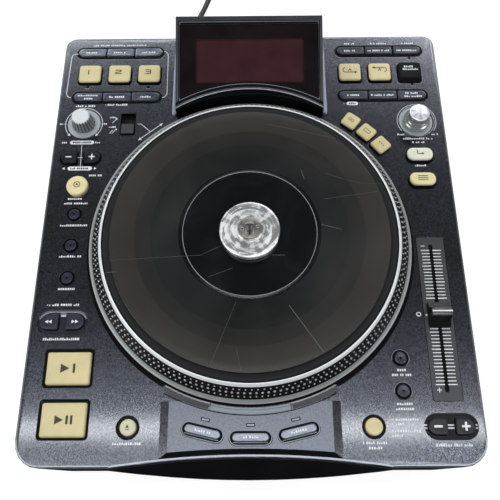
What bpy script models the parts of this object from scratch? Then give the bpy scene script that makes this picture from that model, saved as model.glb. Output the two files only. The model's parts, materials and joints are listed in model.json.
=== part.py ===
"""A tabletop disc player for a mixing desk: motor platter, tilted display, key panel and disc slot.

Units are metres, +Z is up, +Y is to the rear and +X to the right, as seen from the front.
Places are given from the platter's axis at the panel's top face, which one empty carries.
"""
import math

import bmesh
import bpy
from mathutils import Matrix, Vector

# Clearances and cuts
fit_gap = 0.0003
key_gap = 0.0004
cut_overrun = 0.002
weld_distance = 0.00001
full_turn = 2 * math.pi
quarter_turn = math.pi / 2

# Platter: a cast deck with a bright rim, a sloped band and a lower ring
ring_radius = 0.1131
ring_height = 0.0078
ring_half_height = 0.0013
ring_round = 0.0007
rim_radius = 0.1032
rim_width = 0.0022
rim_top = 0.0203
rim_round = 0.0006
band_step = 0.0010
deck_top = 0.0186
deck_thickness = 0.0032
platter_underside = 0.0032
platter_wall = 0.0110
platter_hub_radius = 0.0160
spindle_radius = 0.0035
spindle_top = 0.0240
platter_steps = 60

# Slipmat, scratch disc and the turned hub that holds the disc down
slipmat_radius = 0.1002
slipmat_thickness = 0.0011
disc_radius = 0.0966
disc_thickness = 0.0016
disc_round = 0.0004
hub_radius = 0.0207
hub_height = 0.0038
hub_chamfer = 0.0008
hub_plate_radius = 0.0083
hub_plate_height = 0.0028
hub_pin_radius = 0.0030
hub_pin_height = 0.0018
disc_steps = 56
hub_steps = 32

# Motor that hangs under the panel and turns the platter
motor_flange_radius = 0.0450
motor_flange_thickness = 0.0030
motor_can_radius = 0.0380
motor_can_height = 0.0160
motor_boss_radius = 0.0220
motor_boss_top = 0.0048
motor_shaft_radius = 0.0050
motor_shaft_top = 0.0137
motor_steps = 28

# Places on the panel, each measured from the piece beside it
side_column_gap = 0.0156
side_margin = 0.0223
display_clearance = 0.0049
display_depth = 0.0548
rear_margin = 0.0108
centre_key_gap = 0.0206
front_margin = 0.0179
column_x = ring_radius + side_column_gap
panel_half_width = column_x + side_margin
display_arc_radius = ring_radius + display_clearance
display_rear_y = display_arc_radius + display_depth
panel_rear_y = display_rear_y + rear_margin
centre_key_radius = ring_radius + centre_key_gap
panel_front_y = -(centre_key_radius + front_margin)

strip_row_inset = 0.0153
point_row_pitch = 0.0222
loop_row_pitch = 0.0209
knob_row_pitch = 0.0246
pair_row_pitch = 0.0302
tap_row_pitch = 0.0243
list_row_pitch = 0.0211
effect_row_pitch = 0.0224
effect_pitch = 0.02465
strip_row_y = panel_rear_y - strip_row_inset
point_row_y = strip_row_y - point_row_pitch
loop_row_y = point_row_y - loop_row_pitch
knob_row_y = loop_row_y - knob_row_pitch
pair_row_y = knob_row_y - pair_row_pitch
tap_y = pair_row_y - tap_row_pitch
list_y = pair_row_y - list_row_pitch

front_row_inset = 0.0246
play_inset = 0.0294
cue_pitch = 0.0331
search_pitch = 0.0319
range_pitch = 0.0225
adjust_pitch = 0.0215
front_row_y = panel_front_y + front_row_inset
play_y = panel_front_y + play_inset
cue_y = play_y + cue_pitch
search_y = cue_y + search_pitch
range_y = front_row_y + range_pitch
adjust_y = range_y + adjust_pitch

strip_column_inset = 0.0235
point_column_inset = 0.0006
point_pitch = 0.02385
play_column_inset = 0.0080
adjust_column_inset = 0.0287
front_round_inset = 0.0496
switch_column_inset = 0.0340
strip_x = column_x - strip_column_inset
point_x = column_x - point_column_inset
play_x = column_x - play_column_inset
adjust_x = column_x - adjust_column_inset
front_round_x = column_x - front_round_inset
switch_x = column_x - switch_column_inset

# Panel moulding and the deck's height over the table
panel_height = 0.0850
panel_thickness = 0.0030
panel_skirt = 0.0180
panel_edge_round = 0.0014
front_corner = 0.0170
rear_corner = 0.0090
corner_steps = 5
boss_radius = 0.0030

# Raised bridge in front of the platter, with its ledge beside the ring
bridge_half_width = 0.0585
bridge_side_slope = 0.0057
bridge_front_slope = 0.0032
bridge_height = 0.0026
bridge_lip = 0.0017
bridge_arc_gap = 0.0061
bridge_foot_reach = 0.0097
ledge_half_width = 0.0260
ledge_width = 0.0027
ledge_height = 0.0015
arc_steps = 20

# Cheeks that stand beside the display
cheek_inset = 0.0009
cheek_width = 0.0036
cheek_height = 0.0022
cheek_length = 0.0730
cheek_rear_margin = 0.0032

# Keys
key_travel = 0.0010
key_skirt = 0.0045
key_edge = 0.0007
square_width = 0.0181
square_depth = 0.0169
square_corner = 0.0024
square_proud = 0.0034
strip_width = 0.0695
strip_depth = 0.0094
strip_proud = 0.0012
strip_groove = 0.0008
strip_groove_depth = 0.0018
play_width = 0.0294
play_depth = 0.0222
play_corner = 0.0012
play_proud = 0.0022
play_gap = 0.0008
tap_radius = 0.0083
tap_proud = 0.0030
small_radius = 0.0041
small_ring_radius = 0.0057
small_proud = 0.0010
eject_radius = 0.0056
eject_ring_radius = 0.0078
eject_proud = 0.0016
ring_recess = 0.0016
ring_steps = 16
pill_width = 0.0206
pill_depth = 0.0116
pill_corner = 0.0052
pill_proud = 0.0034
pair_pitch = 0.0177
pair_width = 0.0125
pair_depth = 0.0109
pair_corner = 0.0016
pair_proud = 0.0016
dish_width = 0.0350
dish_depth = 0.0168
dish_recess = 0.0011
centre_key_width = 0.0250
centre_key_depth = 0.0070
centre_key_proud = 0.0012
centre_key_angle = math.radians(13.3)
source_key_size = 0.0116
source_key_corner = 0.0016
source_key_gap = 0.0137
source_key_angle = math.radians(45.4)
source_key_step = math.radians(6.8)
source_key_radius = ring_radius + source_key_gap
small_corner_steps = 3

# Effects knob and parameters knob with their printed dials
dial_radius = 0.0127
dial_height = 0.0008
knob_air = 0.0006
knob_height = 0.0115
knob_base_radius = 0.0087
knob_top_radius = 0.0066
knob_top_round = 0.0005
knob_flute_depth = 0.0004
knob_flutes = 20
shaft_radius = 0.0030
encoder_height = 0.0125
encoder_top_radius = 0.0077
encoder_neck_radius = 0.0080
encoder_skirt_radius = 0.0100
encoder_skirt_height = 0.0024
encoder_crown = 0.0005
encoder_bore_height = 0.0063
encoder_travel = 0.0005
encoder_steps = 24

# Direction switch
switch_width = 0.0109
switch_slot_length = 0.0196
switch_block_length = 0.0092
switch_corner = 0.0008
switch_proud = 0.0012
switch_plate_side = 0.0012
switch_plate_thickness = 0.0009

# Pitch fader
fader_plate_width = 0.0193
fader_plate_length = 0.1148
fader_plate_corner = 0.0014
fader_plate_thickness = 0.0009
fader_pitch = 0.0734
fader_slot_width = 0.0022
fader_slot_length = 0.1020
fader_slot_relief = 0.0005
fader_width = 0.0159
fader_length = 0.0175
fader_air = 0.0006
fader_foot_height = 0.0026
fader_height = 0.0104
fader_ridge_width = 0.0134
fader_ridge_length = 0.0050
fader_waist_height = 0.0062
fader_waist_length = 0.0086
fader_blade_width = 0.0014
fader_blade_length = 0.0060
fader_y = front_row_y + fader_pitch

# Display
display_side_gap = 0.01435
display_half_width = strip_x - strip_width / 2 - display_side_gap
display_arc_height = 0.0197
display_tilt = math.radians(17.4)
display_edge = 0.0007
display_rear_lean = 0.0040
window_side = 0.0034
window_front = 0.0058
window_rear = 0.0066
window_thickness = 0.0016

# Front fascia, a bowed black chin with the disc slot
fascia_drop = 0.0520
fascia_bow = 0.0070
fascia_end_lap = 0.0008
fascia_end_reach = 0.0015
fascia_slope_drop = 0.0120
fascia_lip = 0.0008
lip_arc_radius = 0.6080
slot_width = 0.1300
slot_height = 0.0060
slot_depth_below_panel = 0.0350
slot_flare = 0.0012

# Chassis pan, its wall and feet
chassis_wall = 0.0016
foot_height = 0.0080
foot_radius = 0.0130
foot_taper = 0.0012
foot_inset_x = 0.0300
foot_inset_y = 0.0310
foot_steps = 16
post_radius = 0.0035
post_steps = 8

# Slot-in disc drive with its feed roller
drive_side = 0.0090
drive_depth = 0.1490
drive_above_bay = 0.0050
drive_below_bay = 0.0140
bay_depth = 0.1340
roller_radius = 0.0040
roller_inset = 0.0085
roller_pin_radius = 0.0016
roller_pin_length = 0.0040
roller_steps = 12

# Boards and rear sockets
board_thickness = 0.0016
board_inset = 0.0100
board_corner = 0.0060
jack_board_width = 0.1180
jack_board_inset = 0.0730
jack_board_x = panel_half_width - jack_board_inset
jack_board_height = 0.0330
jack_board_setback = 0.0110
jack_height = 0.0300
rca_radius = 0.0042
rca_bore = 0.0016
rca_reach = 0.0090
rca_pitch = 0.0160
minijack_radius = 0.0032
minijack_reach = 0.0020
usb_a_width = 0.0131
usb_a_height = 0.0057
usb_b_width = 0.0120
usb_b_height = 0.0110
usb_reach = 0.0008
usb_wall = 0.0006
usb_depth = 0.0080
socket_steps = 12

supply_width = 0.0840
supply_depth = 0.0700
supply_inset = 0.0730
supply_x = supply_inset - panel_half_width
supply_setback = 0.0020
coil_block_width = 0.0340
coil_block_depth = 0.0300
coil_block_height = 0.0260
capacitor_radius = 0.0080
capacitor_height = 0.0220
inlet_offset = 0.0180
inlet_x = supply_x + inlet_offset
inlet_height = 0.0300
inlet_width = 0.0190
inlet_body_height = 0.0130
inlet_reach = 0.0012
nose_width = 0.0136
nose_height = 0.0078
nose_length = 0.0090

power_inset = 0.0360
power_x = power_inset - panel_half_width
power_width = 0.0130
power_height = 0.0090
power_corner = 0.0010
power_proud = 0.0030
power_skirt = 0.0090
power_travel = 0.0020

# Mains lead, its connector with strain relief, its coil and its plug
cord_diameter = 0.0050
cord_length = 1.5000
connector_length = 0.0220
connector_width = 0.0170
connector_height = 0.0110
relief_length = 0.0240
relief_root_radius = 0.0046
relief_tip_radius = 0.0033
relief_ribs = 5
relief_rib_depth = 0.0005
coil_turns = 7.25
coil_points = 24
coil_pitch = 0.0056
tail_length = 0.0340
plug_length = 0.0330
plug_width = 0.0230
plug_height = 0.0160
plug_neck_radius = 0.0042
plug_neck_length = 0.0100
blade_length = 0.0170
blade_width = 0.0063
blade_thickness = 0.0015
blade_spacing = 0.0127

# Derived heights and edges
floor_z = -panel_height
chassis_bottom = floor_z + foot_height
chassis_floor = chassis_bottom + chassis_wall
chassis_top = -panel_skirt - fit_gap
board_top = -key_skirt - key_travel - fit_gap
board_bottom = board_top - board_thickness
rear_wall_y = panel_rear_y - chassis_wall
jack_z = floor_z + jack_height
inlet_z = floor_z + inlet_height
bay_floor = -slot_depth_below_panel - slot_height / 2
bay_roof = -slot_depth_below_panel + slot_height / 2
disc_bottom = deck_top + fit_gap + slipmat_thickness + fit_gap
hub_bottom = disc_bottom + disc_thickness + fit_gap
knob_bottom = dial_height + knob_air
bridge_foot_y = -(centre_key_radius + bridge_foot_reach)
lip_y = bridge_foot_y - bridge_lip
lip_centre_y = lip_y - lip_arc_radius
fascia_half_width = math.sqrt(lip_arc_radius ** 2 - (panel_front_y - lip_centre_y) ** 2) + fascia_end_lap
fascia_front_y = panel_front_y - fascia_bow
drive_front_y = lip_y + fit_gap + fit_gap
drive_half_width = slot_width / 2 + drive_side
drive_bottom = bay_floor - drive_below_bay
drive_top = bay_roof + drive_above_bay
roller_y = drive_front_y + roller_inset
roller_z = bay_floor - roller_radius
rear_reach_y = panel_rear_y + rca_reach
datum_y = -(fascia_front_y + rear_reach_y) / 2

cream = (0.72, 0.66, 0.42)
pale_cream = (0.80, 0.79, 0.62)
slate = (0.15, 0.17, 0.21)
soot = (0.02, 0.021, 0.024)
graphite = (0.045, 0.048, 0.055)
silver = (0.75, 0.76, 0.78)

datum = None
parts = None
cutters = None


def start_scene():
    """Empties the scene, then makes the collections and the empty on the platter's axis."""
    global datum, parts, cutters
    for obj in list(bpy.data.objects):
        bpy.data.objects.remove(obj, do_unlink=True)
    parts = bpy.data.collections.new("disc_player")
    cutters = bpy.data.collections.new("disc_player_cutters")
    for group in (parts, cutters):
        bpy.context.scene.collection.children.link(group)
    datum = bpy.data.objects.new("platter_axis_datum", None)
    datum.location = (0, datum_y, panel_height)
    parts.objects.link(datum)


def cutter_group(name):
    """A collection of helper solids that one Boolean modifier reads together."""
    group = bpy.data.collections.new(name)
    cutters.children.link(group)
    return group


def finish(name, colour, roughness, metallic=0):
    """A plain coat for one part."""
    material = bpy.data.materials.new(name)
    material.use_nodes = True
    shader = material.node_tree.nodes["Principled BSDF"]
    shader.inputs["Base Color"].default_value = (*colour, 1)
    shader.inputs["Roughness"].default_value = roughness
    shader.inputs["Metallic"].default_value = metallic
    return material


def add_part(name, mesh, colour, roughness=0.5, metallic=0, place=(0, 0, 0), turn=(0, 0, 0)):
    """One named solid of the player, carried by the datum."""
    part = bpy.data.objects.new(name, mesh)
    mesh.materials.append(finish(name, colour, roughness, metallic))
    part.parent = datum
    part.location = place
    part.rotation_euler = turn
    parts.objects.link(part)
    return part


def add_helper(name, mesh, group=None, place=(0, 0, 0), turn=(0, 0, 0)):
    """A solid that only shapes another one."""
    helper = bpy.data.objects.new(name, mesh)
    helper.parent = datum
    helper.location = place
    helper.rotation_euler = turn
    helper.hide_render = True
    helper.display_type = "WIRE"
    (group or cutters).objects.link(helper)
    return helper


def combine(part, operation, helper):
    """Joins a helper, or a whole group of them, to a part, or cuts it away."""
    boolean = part.modifiers.new(operation.lower(), "BOOLEAN")
    boolean.operation = operation
    boolean.solver = "EXACT"
    if isinstance(helper, bpy.types.Collection):
        boolean.operand_type = "COLLECTION"
        boolean.collection = helper
    else:
        boolean.object = helper
    return boolean


def mesh_from(bm, name="solid"):
    """Turns worked geometry into mesh data, smooth except at its corners."""
    mesh = bpy.data.meshes.new(name)
    bm.to_mesh(mesh)
    bm.free()
    mesh.shade_smooth()
    mesh.set_sharp_from_angle(angle=math.radians(35))
    return mesh


def outline(width, depth, corners, steps=small_corner_steps):
    """A rectangle with rounded corners: front left, front right, rear right and rear left radius."""
    signs = ((-1, -1), (1, -1), (1, 1), (-1, 1))
    points = []
    for index, ((side, end), radius) in enumerate(zip(signs, corners)):
        centre = Vector((side * (width / 2 - radius), end * (depth / 2 - radius)))
        for step in range(steps + 1):
            angle = math.pi + quarter_turn * (index + step / steps)
            points.append(centre + radius * Vector((math.cos(angle), math.sin(angle))))
    return without_doubles(points)


def without_doubles(points):
    """Leaves out each point that lies on the one before it."""
    kept = []
    for point in points:
        if not kept or (point - kept[-1]).length > weld_distance:
            kept.append(point)
    while len(kept) > 1 and (kept[0] - kept[-1]).length <= weld_distance:
        kept.pop()
    return kept


def arc(centre_y, radius, half_width, count=arc_steps):
    """Points from left to right on an arc whose centre lies on the player's middle line."""
    points = []
    for step in range(count + 1):
        x = half_width * (2 * step / count - 1)
        reach = math.sqrt(max(radius ** 2 - x ** 2, 0))
        points.append(Vector((x, centre_y + math.copysign(reach, radius))))
    return points


def placed(points, x, y, turn=0):
    """An outline turned about its middle and moved to its place."""
    rotation = Matrix.Rotation(turn, 2)
    return [rotation @ point + Vector((x, y)) for point in points]


def flat_solid(points, bottom, top):
    """A filled flat outline with a thickness."""
    curve = bpy.data.curves.new("outline", "CURVE")
    curve.dimensions = "2D"
    curve.fill_mode = "BOTH"
    curve.extrude = (top - bottom) / 2
    spline = curve.splines.new("POLY")
    spline.points.add(len(points) - 1)
    for point, place in zip(spline.points, points):
        point.co = (place.x, place.y, 0, 1)
    spline.use_cyclic_u = True
    drawn = bpy.data.objects.new("outline", curve)
    mesh = bpy.data.meshes.new_from_object(drawn)
    bpy.data.objects.remove(drawn)
    bpy.data.curves.remove(curve)
    bm = bmesh.new()
    bm.from_mesh(mesh)
    bpy.data.meshes.remove(mesh)
    bmesh.ops.remove_doubles(bm, verts=bm.verts, dist=weld_distance)
    bmesh.ops.dissolve_limit(bm, angle_limit=math.radians(1), verts=bm.verts, edges=bm.edges)
    bmesh.ops.translate(bm, verts=bm.verts, vec=(0, 0, (top + bottom) / 2))
    bmesh.ops.recalc_face_normals(bm, faces=bm.faces)
    return mesh_from(bm)


def eased(mesh, width, segments=2, upper=True):
    """Rounds the rim between the upper, or lower, face and the sides."""
    bm = bmesh.new()
    bm.from_mesh(mesh)
    way = 1 if upper else -1
    rim = []
    for edge in bm.edges:
        rises = sorted(way * face.normal.z for face in edge.link_faces)
        if len(rises) == 2 and rises[1] > 0.7 and rises[0] < 0.5 and edge.is_convex:
            rim.append(edge)
    bmesh.ops.bevel(bm, geom=rim, offset=width, segments=segments, profile=0.5, affect="EDGES")
    bpy.data.meshes.remove(mesh)
    return mesh_from(bm)


def reshaped(mesh, move):
    """Moves each point of a mesh to where a rule puts it."""
    for vertex in mesh.vertices:
        vertex.co = move(vertex.co.copy())
    return mesh


def loft(sections):
    """Skins a row of sections with equal counts of points, and closes both ends."""
    bm = bmesh.new()
    rings = [[bm.verts.new(point) for point in section] for section in sections]
    for lower, upper in zip(rings, rings[1:]):
        for index in range(len(lower)):
            following = (index + 1) % len(lower)
            bm.faces.new((lower[index], lower[following], upper[following], upper[index]))
    bm.faces.new(rings[0])
    bm.faces.new(rings[-1])
    bmesh.ops.recalc_face_normals(bm, faces=bm.faces)
    return mesh_from(bm)


def raised(points, height):
    """An outline lifted to a height, as a section of a loft."""
    return [Vector((point.x, point.y, height)) for point in points]


def box_mesh(low, high):
    """A box between two corners."""
    low, high = Vector(low), Vector(high)
    bm = bmesh.new()
    bmesh.ops.create_cube(bm, size=1)
    bmesh.ops.scale(bm, verts=bm.verts, vec=high - low)
    bmesh.ops.translate(bm, verts=bm.verts, vec=(low + high) / 2)
    return mesh_from(bm)


def rod_mesh(radius, bottom, top, steps, top_radius=None):
    """A round rod or a tapered one, upright on its own axis."""
    bm = bmesh.new()
    bmesh.ops.create_cone(bm, cap_ends=True, segments=steps, radius1=radius,
                          radius2=radius if top_radius is None else top_radius, depth=top - bottom)
    bmesh.ops.translate(bm, verts=bm.verts, vec=(0, 0, (top + bottom) / 2))
    return mesh_from(bm)


def profile_mesh(profile, ring=False):
    """A line of radius and height points for the Screw modifier, top first down its outer side."""
    bm = bmesh.new()
    line = [bm.verts.new((radius, 0, height)) for radius, height in profile]
    for first, second in zip(line, line[1:]):
        bm.edges.new((first, second))
    if ring:
        bm.edges.new((line[-1], line[0]))
    return mesh_from(bm)


def spin(part, steps):
    """Turns a profile into a round body."""
    screw = part.modifiers.new("turned", "SCREW")
    screw.steps = steps
    screw.render_steps = steps
    screw.use_merge_vertices = True
    screw.merge_threshold = weld_distance
    return part


def pill(width, depth, grow=0):
    """Corner radii and sizes of a shape with half-round ends, grown all round."""
    return width + 2 * grow, depth + 2 * grow, (depth / 2 + grow,) * 4


def shape(width, depth, corners, proud, gap=key_gap, steps=small_corner_steps, colour=cream, base=0):
    """What one kind of key cap measures."""
    return {"width": width, "depth": depth, "corners": corners, "proud": proud, "gap": gap,
            "steps": steps, "colour": colour, "base": base}


half_round = pair_depth / 2
key_shapes = {
    "square": shape(square_width, square_depth, (square_corner,) * 4, square_proud, steps=2),
    "black_square": shape(square_width, square_depth, (square_corner,) * 4, square_proud, steps=2,
                          colour=soot),
    "strip": shape(strip_width, strip_depth, (strip_depth / 2,) * 4, strip_proud, colour=slate),
    "play": shape(play_width, play_depth, (play_corner,) * 4, play_proud, play_gap, steps=2),
    "tap": shape(2 * tap_radius, 2 * tap_radius, (tap_radius,) * 4, tap_proud, steps=4),
    "small": shape(2 * small_radius, 2 * small_radius, (small_radius,) * 4, small_proud,
                   colour=graphite),
    "eject": shape(2 * eject_radius, 2 * eject_radius, (eject_radius,) * 4, eject_proud),
    "pill": shape(pill_width, pill_depth, (pill_corner,) * 4, pill_proud),
    "pale_pill": shape(pill_width, pill_depth, (pill_corner,) * 4, pill_proud, colour=pale_cream),
    "left_pair": shape(pair_width, pair_depth, (half_round, pair_corner, pair_corner, half_round),
                       pair_proud, colour=soot),
    "right_pair": shape(pair_width, pair_depth, (pair_corner, half_round, half_round, pair_corner),
                        pair_proud, colour=soot),
    "centre": shape(centre_key_width, centre_key_depth, (centre_key_depth / 2,) * 4, centre_key_proud,
                    colour=slate, base=bridge_height),
    "source": shape(source_key_size, source_key_size, (source_key_corner,) * 4, square_proud, steps=2),
}


def key_places():
    """Name, kind, place and turn of each key cap."""
    places = [
        ("clear_key_strip", "strip", -strip_x, strip_row_y, 0),
        ("loop_key_strip", "strip", -strip_x, loop_row_y, 0),
        ("time_key_strip", "strip", strip_x, strip_row_y, 0),
        ("flip_key_strip", "strip", strip_x, loop_row_y, 0),
        ("loop_in_key", "square", point_x - 2 * point_pitch, point_row_y, 0),
        ("loop_out_key", "square", point_x - point_pitch, point_row_y, 0),
        ("reloop_key", "black_square", point_x, point_row_y, 0),
        ("loop_halve_key", "left_pair", -column_x - pair_pitch / 2, pair_row_y, 0),
        ("loop_double_key", "right_pair", -column_x + pair_pitch / 2, pair_row_y, 0),
        ("tap_key", "tap", -column_x, tap_y, 0),
        ("back_key", "pale_pill", column_x, pair_row_y, 0),
        ("list_key", "pill", column_x, list_y, 0),
        ("search_back_key", "left_pair", -column_x - pair_pitch / 2, search_y, 0),
        ("search_forward_key", "right_pair", -column_x + pair_pitch / 2, search_y, 0),
        ("cue_key", "play", -play_x, cue_y, 0),
        ("play_key", "play", -play_x, play_y, 0),
        ("eject_key", "eject", -front_round_x, front_row_y, 0),
        ("platter_mode_key", "eject", front_round_x, front_row_y, 0),
        ("pitch_range_key", "small", adjust_x, range_y, 0),
        ("key_adjust_key", "small", adjust_x, adjust_y, 0),
        ("bend_down_key", "left_pair", column_x - pair_pitch / 2, front_row_y, 0),
        ("bend_up_key", "right_pair", column_x + pair_pitch / 2, front_row_y, 0),
    ]
    for index in range(3):
        places.append((f"point_key_{index + 1}", "square", -point_x + index * point_pitch, point_row_y, 0))
        angle = source_key_angle + source_key_step * (1 - index)
        places.append((f"source_key_{index + 1}", "source", source_key_radius * math.cos(angle),
                       source_key_radius * math.sin(angle), angle))
        angle = centre_key_angle * (index - 1)
        places.append((("brake_key", "dump_key", "reverse_key")[index], "centre",
                       centre_key_radius * math.sin(angle), -centre_key_radius * math.cos(angle), angle))
    for index, name in enumerate(("echo_key", "flanger_key", "filter_key")):
        row_y = tap_y - effect_row_pitch - index * effect_pitch
        places.append((name, "small", -column_x, row_y, 0))
    return places


def cap_outline(kind, grow=0):
    """A key cap's outline, or the hole's that it moves in."""
    sizes = key_shapes[kind]
    corners = [radius + grow for radius in sizes["corners"]]
    return outline(sizes["width"] + 2 * grow, sizes["depth"] + 2 * grow, corners, sizes["steps"])


def make_keys():
    """Every key cap, standing in its hole with its skirt below the panel."""
    for name, kind, x, y, turn in key_places():
        sizes = key_shapes[kind]
        top = sizes["base"] + sizes["proud"]
        mesh = eased(flat_solid(cap_outline(kind), -key_skirt, top), key_edge, 1)
        cap = add_part(name, mesh, sizes["colour"], 0.45, place=(x, y, 0), turn=(0, 0, turn))
        if kind == "strip":
            for side in (-1, 1):
                groove_x = side * strip_width / 6
                groove = box_mesh((groove_x - strip_groove / 2, -strip_depth, top - strip_groove_depth),
                                  (groove_x + strip_groove / 2, strip_depth, top + cut_overrun))
                combine(cap, "DIFFERENCE", add_helper(f"{name}_groove", groove, place=(x, y, 0)))


def deck_outline(inset=0):
    """The player's outline seen from above, drawn in all round by the inset."""
    front, rear = front_corner - inset, rear_corner - inset
    width = 2 * (panel_half_width - inset)
    depth = panel_rear_y - panel_front_y - 2 * inset
    points = outline(width, depth, (front, front, rear, rear), corner_steps)
    return placed(points, 0, (panel_rear_y + panel_front_y) / 2)


def open_shell(points, bottom, top, round_radius, open_below):
    """A folded or moulded tray: the outline's walls and one face, still without thickness."""
    mesh = flat_solid(points, bottom, top)
    mesh = eased(mesh, round_radius, upper=open_below)
    bm = bmesh.new()
    bm.from_mesh(mesh)
    bpy.data.meshes.remove(mesh)
    way = -1 if open_below else 1
    gone = [face for face in bm.faces if way * face.normal.z > 0.99]
    bmesh.ops.delete(bm, geom=gone, context="FACES")
    return mesh_from(bm)


def thicken(part, thickness):
    """Gives an open shell its wall, inwards."""
    wall = part.modifiers.new("wall", "SOLIDIFY")
    wall.thickness = thickness
    wall.offset = -1
    wall.use_even_offset = True
    return wall


def bridge_mesh():
    """The raised bridge between the platter and the fascia, with sloped sides and front."""
    sections = []
    for side_in, front_in, height in ((0, 0, -panel_thickness / 2), (0, 0, 0),
                                      (bridge_side_slope, bridge_front_slope, bridge_height)):
        front = arc(lip_centre_y, lip_arc_radius + bridge_lip + front_in, bridge_half_width - side_in)
        rear_y = -ring_radius + rim_width
        rear = [Vector((front[-1].x, rear_y)), Vector((front[0].x, rear_y))]
        sections.append(raised(front + rear, height))
    return loft(sections)


def panel_additions():
    """Everything that stands proud of the panel moulding, and the posts under it."""
    group = cutter_group("panel_additions")
    bridge = add_helper("bridge", bridge_mesh(), group)
    clearing = rod_mesh(ring_radius + bridge_arc_gap, -cut_overrun, bridge_height + cut_overrun,
                        platter_steps)
    combine(bridge, "DIFFERENCE", add_helper("bridge_arc", clearing))
    inner = ring_radius + bridge_arc_gap - ledge_width
    outer = ring_radius + bridge_arc_gap + fit_gap
    half_angle = math.asin(ledge_half_width / outer)
    sector = []
    for radius, way in ((outer, 1), (inner, -1)):
        for step in range(arc_steps // 2 + 1):
            angle = way * half_angle * (2 * step / (arc_steps // 2) - 1)
            sector.append(Vector((radius * math.sin(angle), -radius * math.cos(angle))))
    add_helper("ledge", flat_solid(sector, -panel_thickness / 2, ledge_height), group)
    cheek_x = display_half_width + cheek_inset + cheek_width / 2
    cheek_y = panel_rear_y - cheek_rear_margin - cheek_length / 2
    for side in (-1, 1):
        width, depth, corners = cheek_width, cheek_length, (cheek_width / 2,) * 4
        cheek = flat_solid(outline(width, depth, corners), -panel_thickness / 2, cheek_height)
        add_helper("cheek", eased(cheek, cheek_height / 3), group, (side * cheek_x, cheek_y, 0))
        dial = rod_mesh(dial_radius, -panel_thickness / 2, dial_height, motor_steps)
        add_helper("dial", dial, group, (side * column_x, knob_row_y, 0))
    for x, y in boss_places():
        boss = rod_mesh(boss_radius, board_top + fit_gap, -panel_thickness / 2, post_steps)
        add_helper("boss", boss, group, (x, y, 0))
    return group


def boss_places():
    """Where the panel's posts hold the main board: beside the display, the columns and the keys."""
    rear = (display_half_width - 2 * boss_radius, display_rear_y - 2 * boss_radius)
    middle = (panel_half_width - board_inset - boss_radius, list_y - list_row_pitch)
    front = (play_x, panel_front_y + board_inset + boss_radius)
    return [(side * x, y) for side in (-1, 1) for x, y in (rear, middle, front)]


def panel_cutters():
    """Every hole and recess in the panel moulding."""
    group = cutter_group("panel_cutters")
    above = bridge_height + cut_overrun
    below = -panel_thickness - cut_overrun
    for name, kind, x, y, turn in key_places():
        hole = placed(cap_outline(kind, key_shapes[kind]["gap"]), x, y, turn)
        add_helper(f"{name}_hole", flat_solid(hole, below, above), group)
        ring = {"small": small_ring_radius, "eject": eject_ring_radius}.get(kind)
        if ring:
            recess = rod_mesh(ring, -ring_recess, above, ring_steps)
            add_helper(f"{name}_ring", recess, group, (x, y, 0))
    for x, y in ((-column_x, search_y), (column_x, front_row_y)):
        dish = placed(outline(*pill(dish_width, dish_depth), 5), x, y)
        add_helper("key_dish", flat_solid(dish, -dish_recess, above), group)
    for side in (-1, 1):
        shaft_hole = rod_mesh(shaft_radius + key_gap, below, above, socket_steps)
        add_helper("shaft_hole", shaft_hole, group, (side * column_x, knob_row_y, 0))
    slot = outline(switch_width + 2 * key_gap, switch_slot_length, (switch_corner,) * 4)
    add_helper("switch_slot", flat_solid(placed(slot, -switch_x, knob_row_y), below, above), group)
    grow = 2 * fit_gap
    seat = outline(fader_plate_width + grow, fader_plate_length + grow, (fader_plate_corner + fit_gap,) * 4)
    seat = placed(seat, column_x, fader_y)
    add_helper("fader_seat", flat_solid(seat, -fader_plate_thickness - fit_gap, above), group)
    slot = outline(fader_slot_width + 2 * fader_slot_relief, fader_slot_length + 2 * fader_slot_relief,
                   (fader_slot_width / 2,) * 4)
    add_helper("fader_slot", flat_solid(placed(slot, column_x, fader_y), below, above), group)
    motor_hole = rod_mesh(motor_boss_radius + fit_gap, below, above, motor_steps)
    add_helper("motor_hole", motor_hole, group)
    add_helper("fascia_bay", fascia_bay_mesh(), group)
    return group


def fascia_bay_mesh():
    """The space in front of the lip's arc, which the fascia fills."""
    front_y = fascia_front_y - cut_overrun
    reach = fascia_half_width + fascia_end_lap
    back = arc(lip_centre_y, lip_arc_radius, reach)
    points = [Vector((-reach, front_y)), Vector((reach, front_y))] + back[::-1]
    return flat_solid(points, -fascia_drop - fit_gap, cut_overrun)


def make_top_panel():
    """The moulded top with its skirt, bridge, cheeks, dials, posts, holes and recesses."""
    mesh = open_shell(deck_outline(), -panel_skirt, 0, panel_edge_round, True)
    panel = add_part("top_panel", mesh, (0.075, 0.082, 0.095), 0.4, 0.6)
    thicken(panel, panel_thickness)
    combine(panel, "UNION", panel_additions())
    combine(panel, "DIFFERENCE", panel_cutters())


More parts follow.
